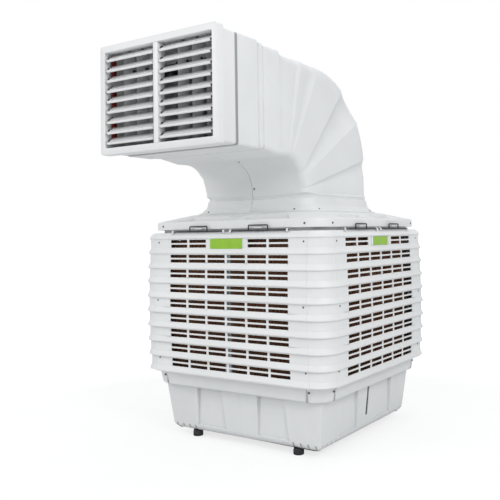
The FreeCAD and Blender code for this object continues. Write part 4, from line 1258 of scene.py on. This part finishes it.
def screwPlaces():
    # (point, outward direction) of every screw that stands still
    places = []
    for quarter in range(4):
        turn = quarterTurn(quarter)
        for x, half, z, out in screws["sides"]:
            out = turn.to_3x3() @ Vector(out).normalized()
            places += [(turn @ Vector((hand * x, -half, z)), out) for hand in (-1, 1)]
    for angle in screws["seamAngles"]:
        y, z = onArc(duct["throat"], angle)
        bend = math.radians(angle)
        places.append((Vector((screws["seamX"], y, z)), Vector((0, -math.cos(bend), -math.sin(bend)))))
    return places


def panelPlaces():
    # the same for the plugs on the -Y panel
    places = []
    for z in screws["panelHeights"]:
        level = courseLevel(int((casing["top"] - z) / casing["pitch"]))
        places += [(Vector((hand * screws["panelX"], -level - 0.1, z)), Vector((0, -1, 0))) for hand in (-1, 1)]
    return places


def screwMesh(places):
    mesh = bpy.data.meshes.new("screwPoints")
    mesh.from_pydata([point for point, out in places], [], [])
    outward = mesh.attributes.new("outward", "FLOAT_VECTOR", "POINT")
    for item, (point, out) in zip(outward.data, places):
        item.vector = out
    return mesh


screwRun = screwGrove()
screwValues = {"Screw": template("screwHead", screwHead()), "Size": 1.0, "Seed": 7, "Material": finishes["screw"]}
grown(screwRun, screwMesh(screwPlaces()), screwValues).piece(
    "case_screws", "root", finishes["screw"], "black_plastic", sharp=40)
panelScrews = grown(screwRun, screwMesh(panelPlaces()), {**screwValues, "Size": 0.85})
panelScrews.onPanels("panel_screws_", finishes["screw"], "black_plastic", sharp=40)


def fluteGrove():
    grove = Grove("fluteRun", [("Geometry", "NodeSocketGeometry", None), ("Sheet", "NodeSocketObject", None),
                               ("Pitch", "NodeSocketFloat", 12.0), ("Sheets", "NodeSocketInt", 30),
                               ("Seed", "NodeSocketInt", 3), ("Material", "NodeSocketMaterial", None)])
    step = grove.node("ShaderNodeCombineXYZ", None, {"X": grove.given("Pitch")})
    line = grove.node("GeometryNodeMeshLine", {"mode": "OFFSET"}, {"Count": grove.given("Sheets"), "Offset": step})
    number = grove.node("GeometryNodeInputIndex")
    flip = 1.0 - number.sum("MODULO", number, 2.0) * 2.0
    slip = grove.node("FunctionNodeRandomValue", {"data_type": "FLOAT"},
                      {"Min": 0.94, "Max": 1.06, "Seed": grove.given("Seed")}, 1)
    scale = grove.node("ShaderNodeCombineXYZ", None, {"X": flip, "Y": slip, "Z": 1.0})
    sheet = grove.node("GeometryNodeObjectInfo", None, {"Object": grove.given("Sheet")}, "Geometry")
    grove.finish(grove.node("GeometryNodeInstanceOnPoints", None, {
        "Points": line, "Instance": sheet, "Scale": scale}))
    return grove


flute = {"low": 282.0, "high": 984.0, "folds": 42, "swing": 5.4, "deep": 6.2, "front": -490.4, "near": 24.0,
         "pitch": 11.6, "sheets": 32, "thick": 1.3}


def fluteSheet():
    # the edge of one pleated sheet of a pad: a zigzag ribbon with some thickness
    sheet = Stock()
    points = []
    faces = []
    for fold in range(flute["folds"] + 1):
        z = flute["low"] + (flute["high"] - flute["low"]) * fold / flute["folds"]
        x = flute["swing"] * (1 if fold % 2 else -1)
        half = flute["thick"] / 2
        for across, y in ((-half, flute["deep"]), (-half, 0), (half, 0), (half, flute["deep"])):
            points.append((x + across, y, z))
    for fold in range(flute["folds"]):
        faces += [gridQuad(fold, j, 4) for j in range(3)]
    sheet.add(points, faces)
    return sheet


fluteRun = grown(fluteGrove(), bpy.data.meshes.new("padEdge"),
                 {"Sheet": template("padSheet", fluteSheet()), "Pitch": flute["pitch"], "Sheets": flute["sheets"],
                  "Seed": 3, "Material": finishes["paper"]})
pads = Stock()
for quarter in range(4):
    for start in (flute["near"], -flute["near"] - flute["pitch"] * (flute["sheets"] - 1)):
        pads.join(fluteRun, quarterTurn(quarter) @ Matrix.Translation((start, flute["front"], 0)))
pads.piece("pad_flutes", "root", finishes["paper"], "cellulose", sharp=50)
print("screws and pad flutes made")


# Name plates, bare

plates = {"sizes": ((95.0, 936.5, 984.0), (80.0, 941.5, 981.5)), "corner": 3.0,
          # share of the width and of the height, and how far the layer reaches in and out
          "layers": ((1, 1, (-0.5, 0.35)), (0.985, 0.95, (0.2, 0.6)))}
for quarter, (half, low, high) in enumerate(plates["sizes"]):
    level = courseLevel(0) + casing["plateProud"]
    outline = levelRing(half, (high - low) / 2, plates["corner"], 0, 4)
    plate = Stock()
    for wide, tall, outs in plates["layers"]:
        plate.loft([[(x * wide, -level - out, (low + high) / 2 + y * tall) for x, y, z in outline] for out in outs])
    side = sideNames[quarter]
    plate.moved(quarterTurn(quarter)).piece("name_plate_" + side, "panel_" + side, finishes["plate"], "white_plastic",
                                            sharp=40)


# The nodes that keep their own shape

kept = {"cooling_pads": "paper", "fan_shroud": "grey", "fan_impeller": "grey", "fan_motor": "enamel", "pump": "black",
        "tank_fittings": "pipe", "float_arm": "pipe", "water_distributor": "pipe"}
for node, finish in kept.items():
    mesh = nodes[node].data
    if not mesh.materials:
        mesh.materials.append(finishes[finish])
    for slotNumber in range(len(mesh.materials)):
        mesh.materials[slotNumber] = finishes[finish]
print("kept nodes painted:", len(kept))


# Floor, light and camera

def paleFloor():
    # pale floor whose far part fades to the white of the background, with the shadow kept
    desk = Desk("paleFloor")
    path = desk.node("ShaderNodeLightPath", output="Is Camera Ray")
    away = desk.node("ShaderNodeVectorMath", {"operation": "LENGTH"}, {0: desk.place()}, output="Value")
    far = desk.span(away, 1.6, 4.0)
    seen = desk.node("ShaderNodeAddShader", None, {
        0: desk.node("ShaderNodeBsdfDiffuse", None, {"Color": (0.30, 0.30, 0.30, 1)}),
        1: desk.node("ShaderNodeEmission", None, {"Color": (1, 1, 1, 1), "Strength": 0.72 + far * 0.40})})
    plain = desk.node("ShaderNodeBsdfDiffuse", None, {"Color": (0.78, 0.78, 0.78, 1)})
    return desk.finish({0: path, 1: plain, 2: seen}, "ShaderNodeMixShader")


def whiteWorld(low, high):
    # seen as plain white, but lit more from above and from the left than from below
    world = bpy.data.worlds.new("studio")
    world.use_nodes = True
    scene.world = world
    bench = Bench(world.node_tree)
    place = bench.node("ShaderNodeTexCoord", output="Generated")
    lean = bench.node("ShaderNodeVectorMath", {"operation": "DOT_PRODUCT"}, {0: place, 1: (-0.20, -0.42, 0.88)},
                      output="Value")
    lit = bench.node("ShaderNodeBackground", None,
                     {"Color": (0.97, 0.985, 1.0, 1), "Strength": bench.span(lean, -1, 1, low, high)})
    plain = bench.node("ShaderNodeBackground", None, {"Color": (1, 1, 1, 1)})
    path = bench.node("ShaderNodeLightPath", output="Is Camera Ray")
    seen = bench.node("ShaderNodeMixShader", None, {0: path, 1: lit, 2: plain})
    bench.node("ShaderNodeOutputWorld", None, {"Surface": seen})


def softBox(name, place, target, size, power, colour=(1, 1, 1)):
    light = bpy.data.lights.new(name, "AREA")
    light.shape = "RECTANGLE"
    light.size, light.size_y = size
    light.energy = power
    light.color = colour
    thing = placed(name, light)
    thing.location = Vector(place) + bodyMiddle
    aim = Vector(target) + bodyMiddle - thing.location
    thing.rotation_euler = aim.to_track_quat("-Z", "Y").to_euler()


floorMesh = bpy.data.meshes.new("floor")
reach = 45.0
floorMesh.from_pydata([(-reach, -reach, 0), (reach, -reach, 0), (reach, reach, 0), (-reach, reach, 0)], [],
                      [[0, 1, 2, 3]])
floorMesh.materials.append(paleFloor())
floor = placed("floor", floorMesh)
whiteWorld(0.48, 0.80)
softBox("key", (-2.2, -4.4, 3.2), (0, -0.2, 0.9), (2.2, 2.2), 42.0, (1.0, 0.995, 0.985))
softBox("side", (4.2, -2.6, 3.4), (0.2, 0, 1.1), (1.8, 1.8), 78.0, (0.985, 0.99, 1.0))
softBox("top", (0.4, 0.8, 4.6), (0, -0.2, 1.4), (2.6, 2.6), 22.0)

# the photograph's camera, fitted to its corners: place in metres about the body, angles in degrees
shot = {"place": (2.0459, -3.0777, 1.0016), "yaw": 32.91, "pitch": 2.04, "roll": -0.95, "lens": 49.93,
        "shiftX": -0.0947, "shiftY": -0.082}
yaw, pitch, roll = (math.radians(shot[key]) for key in ("yaw", "pitch", "roll"))
forward = Vector((-math.sin(yaw) * math.cos(pitch), math.cos(yaw) * math.cos(pitch), math.sin(pitch)))
level = Vector((math.cos(yaw), math.sin(yaw), 0))
upward = level.cross(forward)
right = level * math.cos(roll) + upward * math.sin(roll)
over = upward * math.cos(roll) - level * math.sin(roll)
lens = bpy.data.cameras.new("camera")
lens.sensor_width = 36.0
lens.lens = shot["lens"]
lens.shift_x = shot["shiftX"]
lens.shift_y = shot["shiftY"]
lens.clip_end = 200.0
camera = placed("camera", lens)
turn = Matrix((right, over, -forward)).transposed().to_4x4()
camera.matrix_world = Matrix.Translation(Vector(shot["place"]) + bodyMiddle) @ turn
scene.camera = camera
scene.view_settings.view_transform = "Standard"
